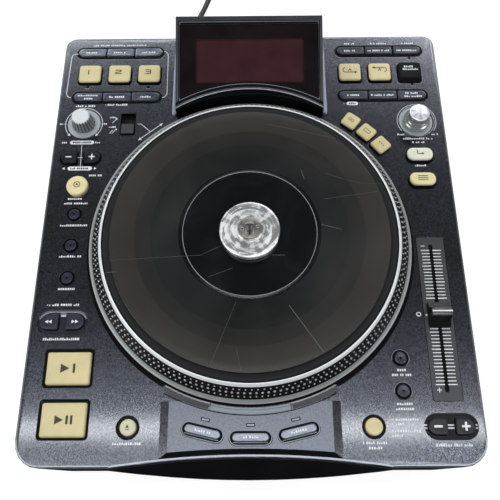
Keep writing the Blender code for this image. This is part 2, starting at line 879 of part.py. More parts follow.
def make_chassis():
    """The folded steel pan with its feet, the drive's posts and the openings in its walls."""
    mesh = open_shell(deck_outline(), chassis_bottom, chassis_top, chassis_wall, False)
    pan = add_part("base_chassis", mesh, soot, 0.55, 0.3)
    thicken(pan, chassis_wall)
    extra = cutter_group("chassis_additions")
    for side in (-1, 1):
        for y in (panel_front_y + foot_inset_y, panel_rear_y - foot_inset_y):
            foot = rod_mesh(foot_radius - foot_taper, floor_z, chassis_bottom + chassis_wall / 2, foot_steps,
                            foot_radius)
            add_helper("foot", foot, extra, (side * (panel_half_width - foot_inset_x), y, 0))
        for y in (drive_front_y + 2 * roller_inset, drive_front_y + drive_depth - 2 * roller_inset):
            post = rod_mesh(post_radius, chassis_bottom + chassis_wall / 2, drive_bottom - fit_gap,
                            post_steps)
            add_helper("drive_post", post, extra, (side * (drive_half_width - 2 * post_radius), y, 0))
    combine(pan, "UNION", extra)
    holes = cutter_group("chassis_cutters")
    add_helper("fascia_gap", fascia_bay_mesh(), holes)
    for name, low, high in rear_openings():
        add_helper(name, box_mesh(low, high), holes)
    for x in jack_places()["rca"]:
        bore = rod_mesh(rca_radius + fit_gap, -chassis_wall - cut_overrun, cut_overrun, socket_steps)
        add_helper("rca_hole", bore, holes, (x, panel_rear_y, jack_z), (-quarter_turn, 0, 0))
    for x in jack_places()["minijack"]:
        bore = rod_mesh(minijack_radius + fit_gap, -chassis_wall - cut_overrun, cut_overrun, socket_steps)
        add_helper("minijack_hole", bore, holes, (x, panel_rear_y, jack_z), (-quarter_turn, 0, 0))
    combine(pan, "DIFFERENCE", holes)


def jack_places():
    """Where each rear socket sits across the jack board."""
    right = jack_board_x + jack_board_width / 2 - rca_pitch / 2
    rca = [right - index * rca_pitch for index in range(3)]
    mini = [rca[-1] - rca_pitch * (index + 1) for index in range(2)]
    return {"rca": rca, "minijack": mini, "usb_b": [mini[-1] - rca_pitch],
            "usb_a": [mini[-1] - 2 * rca_pitch]}


def rear_openings():
    """Boxes cut out of the rear wall for the square sockets, the inlet and the power button."""
    y0, y1 = rear_wall_y - cut_overrun, panel_rear_y + cut_overrun
    sizes = [("usb_a_hole", jack_places()["usb_a"][0], jack_z, usb_a_width, usb_a_height),
             ("usb_b_hole", jack_places()["usb_b"][0], jack_z, usb_b_width, usb_b_height),
             ("inlet_hole", inlet_x, inlet_z, inlet_width, inlet_body_height),
             ("power_hole", power_x, inlet_z, power_width, power_height)]
    openings = []
    for name, x, z, width, height in sizes:
        half, rise = width / 2 + fit_gap, height / 2 + fit_gap
        openings.append((name, (x - half, y0, z - rise), (x + half, y1, z + rise)))
    return openings


def make_fascia():
    """The bowed chin: a lens-shaped block, sloped by a cone at the top and cut by the disc slot."""
    back = arc(lip_centre_y, lip_arc_radius - fit_gap, fascia_half_width)
    sagitta = fascia_bow - fascia_end_reach
    bow_radius = (fascia_half_width ** 2 + sagitta ** 2) / (2 * sagitta)
    bow = arc(fascia_front_y + bow_radius, -bow_radius, fascia_half_width)
    mesh = flat_solid(bow + back[::-1], -fascia_drop, 0)
    fascia = add_part("front_fascia", mesh, soot, 0.12)
    top_radius = lip_arc_radius - fit_gap - fascia_lip
    bow_reach = fascia_front_y - lip_centre_y
    fall = (top_radius - bow_reach) / fascia_slope_drop
    sections = []
    for height in (cut_overrun, -fascia_slope_drop - cut_overrun):
        reach = fascia_half_width + fascia_end_lap
        edge = arc(lip_centre_y, top_radius + fall * height, reach)
        front_y = lip_centre_y + lip_arc_radius / 2
        sections.append(raised([Vector((-reach, front_y)), Vector((reach, front_y))] + edge[::-1], height))
    combine(fascia, "DIFFERENCE", add_helper("fascia_slope", loft(sections)))
    mouth = []
    depth = lip_y - fascia_front_y
    for y, flare in ((fascia_front_y - cut_overrun, slot_flare), (fascia_front_y + 2 * slot_flare, 0),
                     (fascia_front_y + depth + cut_overrun, 0)):
        opening = outline(slot_width + 2 * flare, slot_height + 2 * flare, (slot_height / 2 + flare,) * 4)
        mouth.append([Vector((point.x, y, point.y - slot_depth_below_panel)) for point in opening])
    combine(fascia, "DIFFERENCE", add_helper("disc_slot", loft(mouth)))


def make_platter():
    """The cast platter with its rim, sloped band, lower ring, hollow underside and spindle."""
    under = deck_top - deck_thickness
    low = ring_height - ring_half_height
    profile = [
        (0, spindle_top),
        (spindle_radius - rim_round, spindle_top),
        (spindle_radius, spindle_top - rim_round),
        (spindle_radius, deck_top),
        (rim_radius - rim_width, deck_top),
        (rim_radius - rim_width + rim_round, rim_top),
        (rim_radius - rim_round, rim_top),
        (rim_radius, rim_top - rim_round),
        (rim_radius, rim_top - band_step - rim_round),
        (ring_radius - 2 * rim_width + ring_round, ring_height + ring_half_height + ring_round),
        (ring_radius - 2 * rim_width + ring_round, ring_height + ring_half_height - ring_round),
        (ring_radius - 2 * ring_round, ring_height + ring_half_height),
        (ring_radius, ring_height + ring_round),
        (ring_radius, low + ring_round),
        (ring_radius - 2 * ring_round, low),
        (ring_radius - platter_wall / 2, platter_underside),
        (ring_radius - platter_wall - rim_width, platter_underside),
        (ring_radius - platter_wall - 2 * rim_width, under),
        (platter_hub_radius, under),
        (platter_hub_radius, motor_boss_top + fit_gap),
        (motor_shaft_radius + fit_gap, motor_boss_top + fit_gap),
        (motor_shaft_radius + fit_gap, motor_shaft_top + fit_gap),
        (0, motor_shaft_top + fit_gap),
    ]
    spin(add_part("platter", profile_mesh(profile), (0.30, 0.31, 0.33), 0.3, 0.9), platter_steps)


def make_disc_and_hub():
    """The slipmat, the scratch disc and the hub that ride on the platter's spindle."""
    bore = spindle_radius + fit_gap
    mat_low, mat_top = deck_top + fit_gap, deck_top + fit_gap + slipmat_thickness
    mat = [(bore, mat_top), (slipmat_radius, mat_top), (slipmat_radius, mat_low), (bore, mat_low)]
    spin(add_part("slipmat", profile_mesh(mat, ring=True), (0.02, 0.02, 0.02), 0.95), disc_steps)
    top = disc_bottom + disc_thickness
    disc = [(bore, top), (disc_radius - disc_round, top), (disc_radius, top - disc_round),
            (disc_radius, disc_bottom), (bore, disc_bottom)]
    spin(add_part("scratch_disc", profile_mesh(disc, ring=True), (0.05, 0.05, 0.05), 0.25), disc_steps)
    crown = hub_bottom + hub_height
    plate = crown + hub_plate_height
    pin = plate + hub_pin_height
    hub = [
        (0, pin),
        (hub_pin_radius - rim_round, pin),
        (hub_pin_radius, pin - rim_round),
        (hub_pin_radius, plate),
        (hub_plate_radius - rim_round, plate),
        (hub_plate_radius, plate - rim_round),
        (hub_plate_radius + rim_round, crown),
        (hub_radius - hub_chamfer, crown),
        (hub_radius, crown - hub_chamfer),
        (hub_radius, hub_bottom),
        (bore, hub_bottom),
        (bore, spindle_top + fit_gap),
        (0, spindle_top + fit_gap),
    ]
    spin(add_part("centre_hub", profile_mesh(hub), silver, 0.2, 1), hub_steps)


def make_motor():
    """The flat motor: a flange under the panel, a can below it, and a boss and shaft through it."""
    flange_top = -panel_thickness - fit_gap
    flange_low = flange_top - motor_flange_thickness
    profile = [
        (0, motor_shaft_top),
        (motor_shaft_radius, motor_shaft_top),
        (motor_shaft_radius, motor_boss_top),
        (motor_boss_radius, motor_boss_top),
        (motor_boss_radius, flange_top),
        (motor_flange_radius, flange_top),
        (motor_flange_radius, flange_low),
        (motor_can_radius, flange_low),
        (motor_can_radius, flange_low - motor_can_height),
        (0, flange_low - motor_can_height),
    ]
    spin(add_part("platter_motor", profile_mesh(profile), (0.5, 0.5, 0.52), 0.35, 0.9), motor_steps)


def make_effects_knob():
    """The fluted knob that flares to its foot, with the stem that goes through the panel."""
    points = 2 * knob_flutes
    top = knob_bottom + knob_height
    sections = []
    for radius, depth, height in (
        (shaft_radius, 0, board_top + fit_gap),
        (shaft_radius, 0, knob_bottom),
        (knob_base_radius, knob_flute_depth, knob_bottom),
        (knob_top_radius, knob_flute_depth, top - knob_top_round),
        (knob_top_radius - knob_top_round, knob_flute_depth, top),
    ):
        section = []
        for index in range(points):
            reach = radius - depth * (index % 2)
            angle = full_turn * index / points
            section.append(Vector((reach * math.cos(angle), reach * math.sin(angle), height)))
        sections.append(section)
    add_part("effects_knob", loft(sections), (0.75, 0.76, 0.78), 0.5, place=(-column_x, knob_row_y, 0))


def make_parameters_knob():
    """The bright turn-and-push knob and the shaft it is pressed on."""
    place = (column_x, knob_row_y, 0)
    top = knob_bottom + encoder_height
    bore_top = knob_bottom + encoder_bore_height
    skirt = knob_bottom + encoder_skirt_height
    bore = shaft_radius + fit_gap
    profile = [
        (0, top),
        (encoder_top_radius - knob_top_round, top - encoder_crown),
        (encoder_top_radius, top - encoder_crown - knob_top_round),
        (encoder_neck_radius, skirt + encoder_skirt_height),
        (encoder_skirt_radius - knob_top_round, skirt + knob_top_round),
        (encoder_skirt_radius, skirt),
        (encoder_skirt_radius, knob_bottom),
        (bore, knob_bottom),
        (bore, bore_top),
        (0, bore_top),
    ]
    spin(add_part("parameters_knob", profile_mesh(profile), silver, 0.12, 1, place), encoder_steps)
    shaft = rod_mesh(shaft_radius, board_top + encoder_travel + fit_gap, bore_top - fit_gap, socket_steps)
    add_part("parameters_shaft", shaft, (0.6, 0.6, 0.6), 0.3, 1, place)


def make_direction_switch():
    """The slide switch that waits at the front end of its slot, with its cover plate below."""
    travel = switch_slot_length - switch_block_length - 2 * key_gap
    rest_y = knob_row_y - travel / 2
    block = outline(switch_width, switch_block_length, (switch_corner,) * 4, 2)
    plate_top = -panel_thickness - fit_gap
    plate_low = plate_top - switch_plate_thickness
    mesh = eased(flat_solid(block, plate_low, switch_proud), switch_corner / 2)
    switch = add_part("direction_switch", mesh, graphite, 0.5, place=(-switch_x, rest_y, 0))
    half_width = switch_width / 2 + switch_plate_side
    half_length = switch_block_length / 2 + travel
    plate = box_mesh((-half_width, -half_length, plate_low), (half_width, half_length, plate_top))
    combine(switch, "UNION", add_helper("switch_plate", plate, place=(-switch_x, rest_y, 0)))


def make_pitch_fader():
    """The scale plate in its seat, and the fader cap whose blade goes through the slot."""
    plate = flat_solid(outline(fader_plate_width, fader_plate_length, (fader_plate_corner,) * 4),
                       -fader_plate_thickness, 0)
    plate = add_part("fader_plate", plate, (0.08, 0.085, 0.09), 0.5, place=(column_x, fader_y, 0))
    slot = outline(fader_slot_width, fader_slot_length, (fader_slot_width / 2,) * 4)
    slot = flat_solid(slot, -fader_plate_thickness - cut_overrun, cut_overrun)
    combine(plate, "DIFFERENCE", add_helper("plate_slot", slot, place=(column_x, fader_y, 0)))
    sections = []
    waist_width = (fader_width + fader_ridge_width) / 2
    for width, length, height in (
        (fader_width, fader_length, fader_air),
        (fader_width, fader_length, fader_foot_height),
        (waist_width, fader_waist_length, fader_waist_height),
        (fader_ridge_width, fader_ridge_length, fader_height - knob_top_round),
        (fader_ridge_width - 2 * knob_top_round, fader_ridge_length - 2 * knob_top_round, fader_height),
    ):
        sections.append(raised(outline(width, length, (switch_corner,) * 4, 2), height))
    cap = add_part("pitch_fader", loft(sections), graphite, 0.45, place=(column_x, fader_y, 0))
    half, reach = fader_blade_width / 2, fader_blade_length / 2
    blade = box_mesh((-half, -reach, board_top + fit_gap), (half, reach, fader_foot_height))
    combine(cap, "UNION", add_helper("fader_blade", blade, place=(column_x, fader_y, 0)))


def display_face(y):
    """Height of the display's tilted face at a place."""
    return display_arc_height + (y - display_arc_radius) * math.tan(display_tilt)


def display_outline(side, front, rear):
    """The display seen from above: square at the rear, hollowed in front round the platter."""
    half = display_half_width - side
    hollow = arc(0, display_arc_radius + front, half)
    rear_y = display_rear_y - rear
    return hollow + [Vector((half, rear_y)), Vector((-half, rear_y))]


def make_display():
    """The tilted display housing with the recess for its window, and the window."""
    mesh = flat_solid(display_outline(0, 0, 0), fit_gap, display_arc_height)
    middle = display_arc_height / 2

    def tilt_top(point):
        if point.z > middle:
            return Vector((point.x, point.y, display_face(point.y)))
        lean = display_rear_lean if point.y > display_rear_y - fit_gap else 0
        return Vector((point.x, point.y + lean, point.z))

    mesh = eased(reshaped(mesh, tilt_top), display_edge)
    housing = add_part("display_housing", mesh, soot, 0.35)
    panes = []
    for grow, low, high in ((fit_gap, window_thickness + 2 * fit_gap, -cut_overrun),
                            (0, window_thickness + fit_gap, fit_gap)):
        pane = flat_solid(display_outline(window_side - grow, window_front - grow, window_rear - grow), 0,
                          window_thickness)

        def tilt_pane(point, low=low, high=high):
            drop = low if point.z < window_thickness / 2 else high
            return Vector((point.x, point.y, display_face(point.y) - drop))

        panes.append(reshaped(pane, tilt_pane))
    combine(housing, "DIFFERENCE", add_helper("window_recess", panes[0]))
    add_part("display_window", panes[1], (0.03, 0.008, 0.01), 0.06)


def make_main_board():
    """The circuit board that the panel's posts carry, with the clearing round the motor."""
    inset = board_inset
    width = 2 * (panel_half_width - inset)
    depth = panel_rear_y - panel_front_y - 2 * inset
    points = placed(outline(width, depth, (board_corner,) * 4), 0, (panel_rear_y + panel_front_y) / 2)
    board = add_part("main_board", flat_solid(points, board_bottom, board_top), (0.02, 0.12, 0.05), 0.5)
    clearing = rod_mesh(motor_flange_radius + board_thickness, board_bottom - cut_overrun,
                        board_top + cut_overrun, motor_steps)
    combine(board, "DIFFERENCE", add_helper("board_clearing", clearing))


def make_disc_drive():
    """The slot-in drive with its flat bay and the trough of the feed roller."""
    body = box_mesh((-drive_half_width, drive_front_y, drive_bottom),
                    (drive_half_width, drive_front_y + drive_depth, drive_top))
    drive = add_part("disc_drive", body, (0.4, 0.41, 0.42), 0.4, 0.8)
    group = cutter_group("drive_cutters")
    half = slot_width / 2
    add_helper("disc_bay", box_mesh((-half, drive_front_y - cut_overrun, bay_floor),
                                    (half, drive_front_y + bay_depth, bay_roof)), group)
    room = roller_radius + fit_gap
    add_helper("roller_trough", box_mesh((-half, roller_y - room, roller_z - room),
                                         (half, roller_y + room, bay_floor + cut_overrun)), group)
    reach = half + roller_pin_length + fit_gap
    pin_hole = rod_mesh(roller_pin_radius + fit_gap, -reach, reach, post_steps)
    add_helper("pin_hole", pin_hole, group, (0, roller_y, roller_z), (0, quarter_turn, 0))
    combine(drive, "DIFFERENCE", group)
    end = half - fit_gap
    profile = [(0, end + roller_pin_length), (roller_pin_radius, end + roller_pin_length),
               (roller_pin_radius, end), (roller_radius, end), (roller_radius, -end),
               (roller_pin_radius, -end), (roller_pin_radius, -end - roller_pin_length),
               (0, -end - roller_pin_length)]
    spin(add_part("feed_roller", profile_mesh(profile), (0.03, 0.03, 0.03), 0.9,
                  place=(0, roller_y, roller_z), turn=(0, quarter_turn, 0)), roller_steps)


def make_jack_board():
    """The upright board with the phono, small jack and data sockets in the rear wall."""
    front_y = rear_wall_y - jack_board_setback
    low = chassis_floor + fit_gap
    half = jack_board_width / 2
    board = add_part("jack_board", box_mesh((jack_board_x - half, front_y - board_thickness, low),
                                            (jack_board_x + half, front_y, low + jack_board_height)),
                     (0.02, 0.12, 0.05), 0.5)
    sockets = cutter_group("jack_additions")
    bores = cutter_group("jack_bores")
    lie_back = (-quarter_turn, 0, 0)
    round_sockets = (("rca", rca_radius, rca_reach), ("minijack", minijack_radius, minijack_reach))
    for kind, radius, reach in round_sockets:
        for x in jack_places()[kind]:
            barrel = rod_mesh(radius, front_y - board_thickness / 2 - panel_rear_y, reach, socket_steps)
            add_helper(f"{kind}_barrel", barrel, sockets, (x, panel_rear_y, jack_z), lie_back)
            bore = rod_mesh(rca_bore, 0, reach + cut_overrun, post_steps)
            add_helper(f"{kind}_bore", bore, bores, (x, panel_rear_y, jack_z), lie_back)
    for kind, width, height in (("usb_a", usb_a_width, usb_a_height), ("usb_b", usb_b_width, usb_b_height)):
        x = jack_places()[kind][0]
        add_helper(f"{kind}_shell", box_mesh(
            (x - width / 2, front_y - board_thickness / 2, jack_z - height / 2),
            (x + width / 2, panel_rear_y + usb_reach, jack_z + height / 2)), sockets)
        gap = height / 5
        for way in (-1, 1):
            z = jack_z + way * (height / 2 - usb_wall - gap / 2)
            add_helper(f"{kind}_gap", box_mesh(
                (x - width / 2 + usb_wall, panel_rear_y + usb_reach - usb_depth, z - gap / 2),
                (x + width / 2 - usb_wall, panel_rear_y + cut_overrun, z + gap / 2)), bores)
    combine(board, "UNION", sockets)
    combine(board, "DIFFERENCE", bores)


def make_power_supply():
    """The supply board with its coil block, capacitor, inlet and power switch body."""
    rear_y = rear_wall_y - supply_setback
    low = chassis_floor + fit_gap
    top = low + board_thickness
    half = supply_width / 2
    board = add_part("power_supply", box_mesh((supply_x - half, rear_y - supply_depth, low),
                                              (supply_x + half, rear_y, top)), (0.30, 0.20, 0.08), 0.6)
    group = cutter_group("supply_additions")
    block_x = supply_x + half - coil_block_width
    block_y = rear_y - supply_depth + coil_block_depth
    sunk = low + board_thickness / 2
    add_helper("coil_block", box_mesh(
        (block_x - coil_block_width / 2, block_y - coil_block_depth / 2, sunk),
        (block_x + coil_block_width / 2, block_y + coil_block_depth / 2, top + coil_block_height)), group)
    can = rod_mesh(capacitor_radius, sunk, top + capacitor_height, socket_steps)
    add_helper("capacitor", can, group, (supply_x - half + 2 * capacitor_radius, block_y, 0))
    inlet_half, inlet_rise = inlet_width / 2, inlet_body_height / 2
    inlet_front = rear_y - nose_length - inlet_body_height
    add_helper("inlet_stand", box_mesh((inlet_x - inlet_half, inlet_front, sunk),
                                       (inlet_x + inlet_half, rear_y, inlet_z)), group)
    add_helper("inlet_body", box_mesh((inlet_x - inlet_half, inlet_front, inlet_z - inlet_rise),
                                      (inlet_x + inlet_half, panel_rear_y + inlet_reach,
                                       inlet_z + inlet_rise)), group)
    switch_rear = rear_wall_y - power_skirt - power_travel - fit_gap
    add_helper("switch_body", box_mesh(
        (power_x - power_width / 2, switch_rear - power_width, sunk),
        (power_x + power_width / 2, switch_rear, inlet_z + power_height)), group)
    combine(board, "UNION", group)
    socket = outline(*pill(nose_width, nose_height, fit_gap), 4)
    socket_low = panel_rear_y + inlet_reach - nose_length - fit_gap
    sections = [[Vector((inlet_x + point.x, y, inlet_z + point.y)) for point in socket]
                for y in (socket_low, panel_rear_y + inlet_reach + cut_overrun)]
    combine(board, "DIFFERENCE", add_helper("inlet_socket", loft(sections)))
    button = outline(power_width - 2 * fit_gap, power_height - 2 * fit_gap, (power_corner,) * 4)
    mesh = eased(flat_solid(button, -chassis_wall - power_skirt, power_proud), power_corner)
    add_part("power_button", mesh, graphite, 0.5, place=(power_x, panel_rear_y, inlet_z),
             turn=(-quarter_turn, 0, 0))


def upright(points, y, x=0, z=0):
    """An outline stood up across the rear, as a section of a loft."""
    return [Vector((x + point.x, y, z + point.y)) for point in points]


def make_inlet_connector():
    """The lead's connector: a nose in the inlet, a grip and a ribbed, tapered strain relief."""
    face = inlet_reach + fit_gap
    steps = 4
    sections = []
    for y, width, height, radius in (
        (face - nose_length, nose_width, nose_height, nose_height / 2),
        (face, nose_width, nose_height, nose_height / 2),
        (face, connector_width, connector_height, connector_height / 2),
        (face + connector_length * 3 / 4, connector_width, connector_height, connector_height / 2),
        (face + connector_length, 2 * relief_root_radius, 2 * relief_root_radius, relief_root_radius),
    ):
        sections.append(upright(outline_kept(width, height, radius, steps), y))
    for rib in range(2 * relief_ribs):
        share = (rib + 1) / (2 * relief_ribs)
        radius = relief_root_radius + share * (relief_tip_radius - relief_root_radius)
        radius -= relief_rib_depth * (1 - rib % 2)
        sections.append(upright(outline_kept(2 * radius, 2 * radius, radius, steps),
                                face + connector_length + share * relief_length))
    add_part("inlet_connector", loft(sections), soot, 0.6, place=(inlet_x, panel_rear_y, inlet_z))


def outline_kept(width, depth, radius, steps):
    """A rounded outline that keeps every point, so that its count matches in each section."""
    points = []
    for index, (side, end) in enumerate(((-1, -1), (1, -1), (1, 1), (-1, 1))):
        centre = Vector((side * (width / 2 - radius), end * (depth / 2 - radius)))
        for step in range(steps):
            angle = math.pi + quarter_turn * (index + (step + 0.5) / steps)
            points.append(centre + radius * Vector((math.cos(angle), math.sin(angle))))
    return points


# Route of the lead from the strain relief to the coil: how far right of the inlet, how far
# behind the rear edge, and how high above the table
cord_route = [
    (0.0000, 0.0478, 0.0300),
    (0.0001, 0.0560, 0.0293),
    (0.0007, 0.0640, 0.0246),
    (0.0020, 0.0720, 0.0160),
    (0.0040, 0.0800, 0.0078),
    (0.0066, 0.0880, 0.0035),
    (0.0096, 0.0960, 0.0025),
    (0.0131, 0.1050, 0.0025),
    (0.0166, 0.1150, 0.0025),
    (0.0197, 0.1250, 0.0025),
    (0.0223, 0.1360, 0.0025),
    (0.0242, 0.1470, 0.0025),
    (0.0252, 0.1580, 0.0025),
    (0.0255, 0.1680, 0.0025),
]


def smooth_curve(points, parts_each):
    """Points of a Catmull-Rom curve through the given ones."""
    points = [Vector(point) for point in points]
    ends = [2 * points[0] - points[1]] + points + [2 * points[-1] - points[-2]]
    curve = []
    for index in range(1, len(ends) - 2):
        before, start, end, after = ends[index - 1:index + 3]
        for step in range(parts_each):
            t = step / parts_each
            curve.append(0.5 * (2 * start + (end - before) * t
                                + (2 * before - 5 * start + 4 * end - after) * t ** 2
                                + (3 * start - before - 3 * end + after) * t ** 3))
    curve.append(points[-1])
    return curve


def tube(name, points, resolution):
    """A lead that follows its points."""
    curve = bpy.data.curves.new(name, "CURVE")
    curve.dimensions = "3D"
    curve.bevel_depth = cord_diameter / 2
    curve.bevel_resolution = resolution
    curve.use_fill_caps = True
    spline = curve.splines.new("POLY")
    spline.points.add(len(points) - 1)
    for point, place in zip(spline.points, points):
        point.co = (*place, 1)
    return add_part(name, curve, soot, 0.6)


def path_length(points):
    """Length of a line of points."""
    return sum((second - first).length for first, second in zip(points, points[1:]))


def coil_path(start, mean_radius):
    """Points of the coil: in along the table, up a layer at the turn, and out again to its tail."""
    turn_total = full_turn * coil_turns
    spread = coil_pitch * coil_turns / 2
    outer = mean_radius + spread / 2
    rise = plug_height / 2 - cord_diameter / 2
    centre = start + Vector((outer, 0, 0))
    lead_in = Vector((0, cord_diameter, 0))
    points = [start - lead_in]
    for step in range(round(coil_points * coil_turns) + 1):
        wound = step / round(coil_points * coil_turns)
        radius = outer - spread * (1 - abs(2 * wound - 1))
        climb = min(max(coil_turns * (wound - 0.5) * 2 + 0.5, 0), 1)
        height = rise * climb * climb * (3 - 2 * climb)
        angle = math.pi - turn_total * wound
        points.append(centre + Vector((radius * math.cos(angle), radius * math.sin(angle), height)))
    way = Vector((1, 0, 0))
    points.append(points[-1] + way * cord_diameter)
    points.append(points[-2] + way * tail_length)
    return points


def coil_gap(points):
    """Least free space between two stretches of the coil that lie beside or over each other."""
    least = coil_pitch * coil_turns
    apart = coil_points // 2
    for index, first in enumerate(points):
        for second in points[index + apart:]:
            least = min(least, (second - first).length)
    return least - cord_diameter


def make_cord():
    """The lead from the strain relief to the coil, the coil itself and the plug beside it."""
    route = [Vector((inlet_x + x, panel_rear_y + y, floor_z + z)) for x, y, z in cord_route]
    free = smooth_curve(route, 2)
    tube("power_cord", free, 2)
    start = free[-1] + Vector((0, fit_gap + cord_diameter, 0))
    left = cord_length - path_length(free) - cord_diameter - tail_length
    mean_radius = left / (full_turn * coil_turns)
    coil = coil_path(start, mean_radius)
    tube("cord_coil", coil, 1)
    print("least gap in the coil, mm:", round(1000 * coil_gap(coil), 2),
          "lead length, m:", round(path_length(free) + path_length(coil), 4),
          "mean radius, mm:", round(1000 * mean_radius, 1))
    make_plug(coil[-1] + Vector((fit_gap, 0, 0)))


def make_plug(face):
    """The two-bladed plug that lies on the table at the end of the lead."""
    sections = []
    steps = 4
    corner = plug_height / 3
    end_round = plug_neck_radius / 2
    for reach, width, height, radius in (
        (0, 2 * plug_neck_radius, 2 * plug_neck_radius, plug_neck_radius),
        (plug_neck_length, 2 * plug_neck_radius, 2 * plug_neck_radius, plug_neck_radius),
        (plug_neck_length + plug_height / 2, plug_width, plug_height, corner),
        (plug_length - end_round / 2, plug_width, plug_height, corner),
        (plug_length, plug_width - end_round, plug_height - end_round, corner),
    ):
        section = outline_kept(width, height, radius, steps)
        sections.append([Vector((reach, point.x, point.y)) for point in section])
    plug = add_part("mains_plug", loft(sections), soot, 0.55, place=face)
    for side in (-1, 1):
        middle = side * blade_spacing / 2
        blade = box_mesh((plug_length - plug_neck_radius, middle - blade_thickness / 2, -blade_width / 2),
                         (plug_length + blade_length, middle + blade_thickness / 2, blade_width / 2))
        combine(plug, "UNION", add_helper("plug_blade", blade, place=face))


def build_player():
    """Builds every part of the player."""
    start_scene()
    make_top_panel()
    make_chassis()
    make_fascia()
    make_platter()
    make_disc_and_hub()
    make_motor()
    make_keys()
    make_effects_knob()
    make_parameters_knob()
    make_direction_switch()
    make_pitch_fader()
    make_display()
    make_main_board()
    make_disc_drive()
    make_jack_board()
    make_power_supply()
    make_inlet_connector()
    make_cord()


build_player()
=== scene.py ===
import json
import math
import random

import bmesh
import bpy
from mathutils import Matrix, Vector

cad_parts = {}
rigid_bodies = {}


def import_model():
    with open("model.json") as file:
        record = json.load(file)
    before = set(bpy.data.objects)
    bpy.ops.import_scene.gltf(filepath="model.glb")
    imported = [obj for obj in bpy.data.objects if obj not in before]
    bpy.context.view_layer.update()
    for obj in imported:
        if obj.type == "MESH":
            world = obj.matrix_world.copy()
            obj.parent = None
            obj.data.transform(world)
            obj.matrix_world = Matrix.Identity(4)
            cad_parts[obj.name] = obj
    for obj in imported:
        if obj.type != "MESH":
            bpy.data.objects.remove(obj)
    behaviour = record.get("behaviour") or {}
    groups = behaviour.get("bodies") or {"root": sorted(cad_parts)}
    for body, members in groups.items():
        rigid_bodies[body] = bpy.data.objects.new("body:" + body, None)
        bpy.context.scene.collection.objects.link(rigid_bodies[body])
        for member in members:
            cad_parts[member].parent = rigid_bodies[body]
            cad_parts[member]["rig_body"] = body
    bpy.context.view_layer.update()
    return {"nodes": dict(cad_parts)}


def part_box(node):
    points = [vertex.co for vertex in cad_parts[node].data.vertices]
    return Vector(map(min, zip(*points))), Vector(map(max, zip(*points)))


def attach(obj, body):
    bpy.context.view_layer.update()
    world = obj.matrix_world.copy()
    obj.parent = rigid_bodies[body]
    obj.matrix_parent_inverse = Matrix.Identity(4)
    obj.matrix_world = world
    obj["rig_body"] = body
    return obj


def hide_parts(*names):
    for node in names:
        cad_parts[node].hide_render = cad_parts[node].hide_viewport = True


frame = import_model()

# Camera, table and lamps.
# The camera stands over the deck's front edge and looks steeply down. The table is a pale matt
# board. Two long lamps hang over the front, one stands at the rear with a small one beside it, and
# one at each side.
mm = 0.001
scene = bpy.context.scene
look_down, look_aside, lean = (math.radians(angle) for angle in (68.82, -1.11, -1.37))
forward = Vector((math.sin(look_aside) * math.cos(look_down), math.cos(look_aside) * math.cos(look_down),
                  -math.sin(look_down)))
level = Vector((math.cos(look_aside), -math.sin(look_aside), 0))
upward = level.cross(forward)
to_right = math.cos(lean) * level + math.sin(lean) * upward
to_top = math.cos(lean) * upward - math.sin(lean) * level
camera_data = bpy.data.cameras.new("camera")
camera_data.lens = 43.6
camera_data.sensor_width = 36
camera_data.clip_start = 0.01
camera = bpy.data.objects.new("camera", camera_data)
camera.matrix_world = Matrix((to_right, to_top, -forward)).transposed().to_4x4()
camera.location = (0.0030, -0.1783, 0.4883)
scene.collection.objects.link(camera)
scene.camera = camera
scene.view_settings.view_transform = "Standard"


def hang_lamp(name, place, aim, width, depth, power, tint=(1, 1, 1)):
    """A flat soft lamp that faces a point and isn't seen itself."""
    light = bpy.data.lights.new(name, "AREA")
    light.shape = "RECTANGLE"
    light.size, light.size_y = width, depth
    light.energy = power
    light.color = tint
    lamp = bpy.data.objects.new(name, light)
    lamp.location = place
    lamp.rotation_mode = "QUATERNION"
    lamp.rotation_quaternion = (Vector(aim) - Vector(place)).to_track_quat("-Z", "Y")
    lamp.visible_camera = False
    scene.collection.objects.link(lamp)


hang_lamp("front_lamp", (0, -0.062, 1.09), (0, -0.062, 0), 1.5, 0.04, 2.7, (0.93, 0.96, 1))
hang_lamp("near_lamp", (0, -0.24, 1.05), (0, -0.12, 0.08), 1.2, 0.15, 2.8, (0.93, 0.96, 1))
hang_lamp("rear_lamp", (-0.15, 1.25, 1.06), (0, 0.12, 0.08), 2.4, 0.34, 13, (0.94, 0.97, 1))
hang_lamp("corner_lamp", (0.60, 1.12, 1.06), (0.1, 0.12, 0.08), 0.5, 0.2, 3.0, (1, 0.98, 1))
hang_lamp("left_lamp", (-1.30, -0.50, 0.80), (0, 0, 0.08), 0.8, 0.8, 9)
hang_lamp("right_lamp", (1.30, -0.50, 0.80), (0, 0, 0.08), 0.8, 0.8, 6)


def add_node(tree, kind, inputs=None, **settings):
    """One shader node with its settings, and with its inputs set or linked."""
    made = tree.nodes.new("ShaderNode" + kind)
    for setting, value in settings.items():
        setattr(made, setting, value)
    for socket, value in (inputs or {}).items():
        if isinstance(value, bpy.types.NodeSocket):
            tree.links.new(value, made.inputs[socket])
        else:
            made.inputs[socket].default_value = value
    return made


world = bpy.data.worlds.new("studio")
world.use_nodes = True
world.node_tree.nodes["Background"].inputs["Color"].default_value = (0.93, 0.96, 1, 1)
world.node_tree.nodes["Background"].inputs["Strength"].default_value = 0.06
scene.world = world


def new_material(name):
    """A material with its node tree and its shader."""
    material = bpy.data.materials.new(name)
    material.use_nodes = True
    return material, material.node_tree, material.node_tree.nodes["Principled BSDF"]


def mesh_of(bm, name):
    """The mesh that a bmesh makes."""
    mesh = bpy.data.meshes.new(name)
    bm.to_mesh(mesh)
    bm.free()
    return mesh


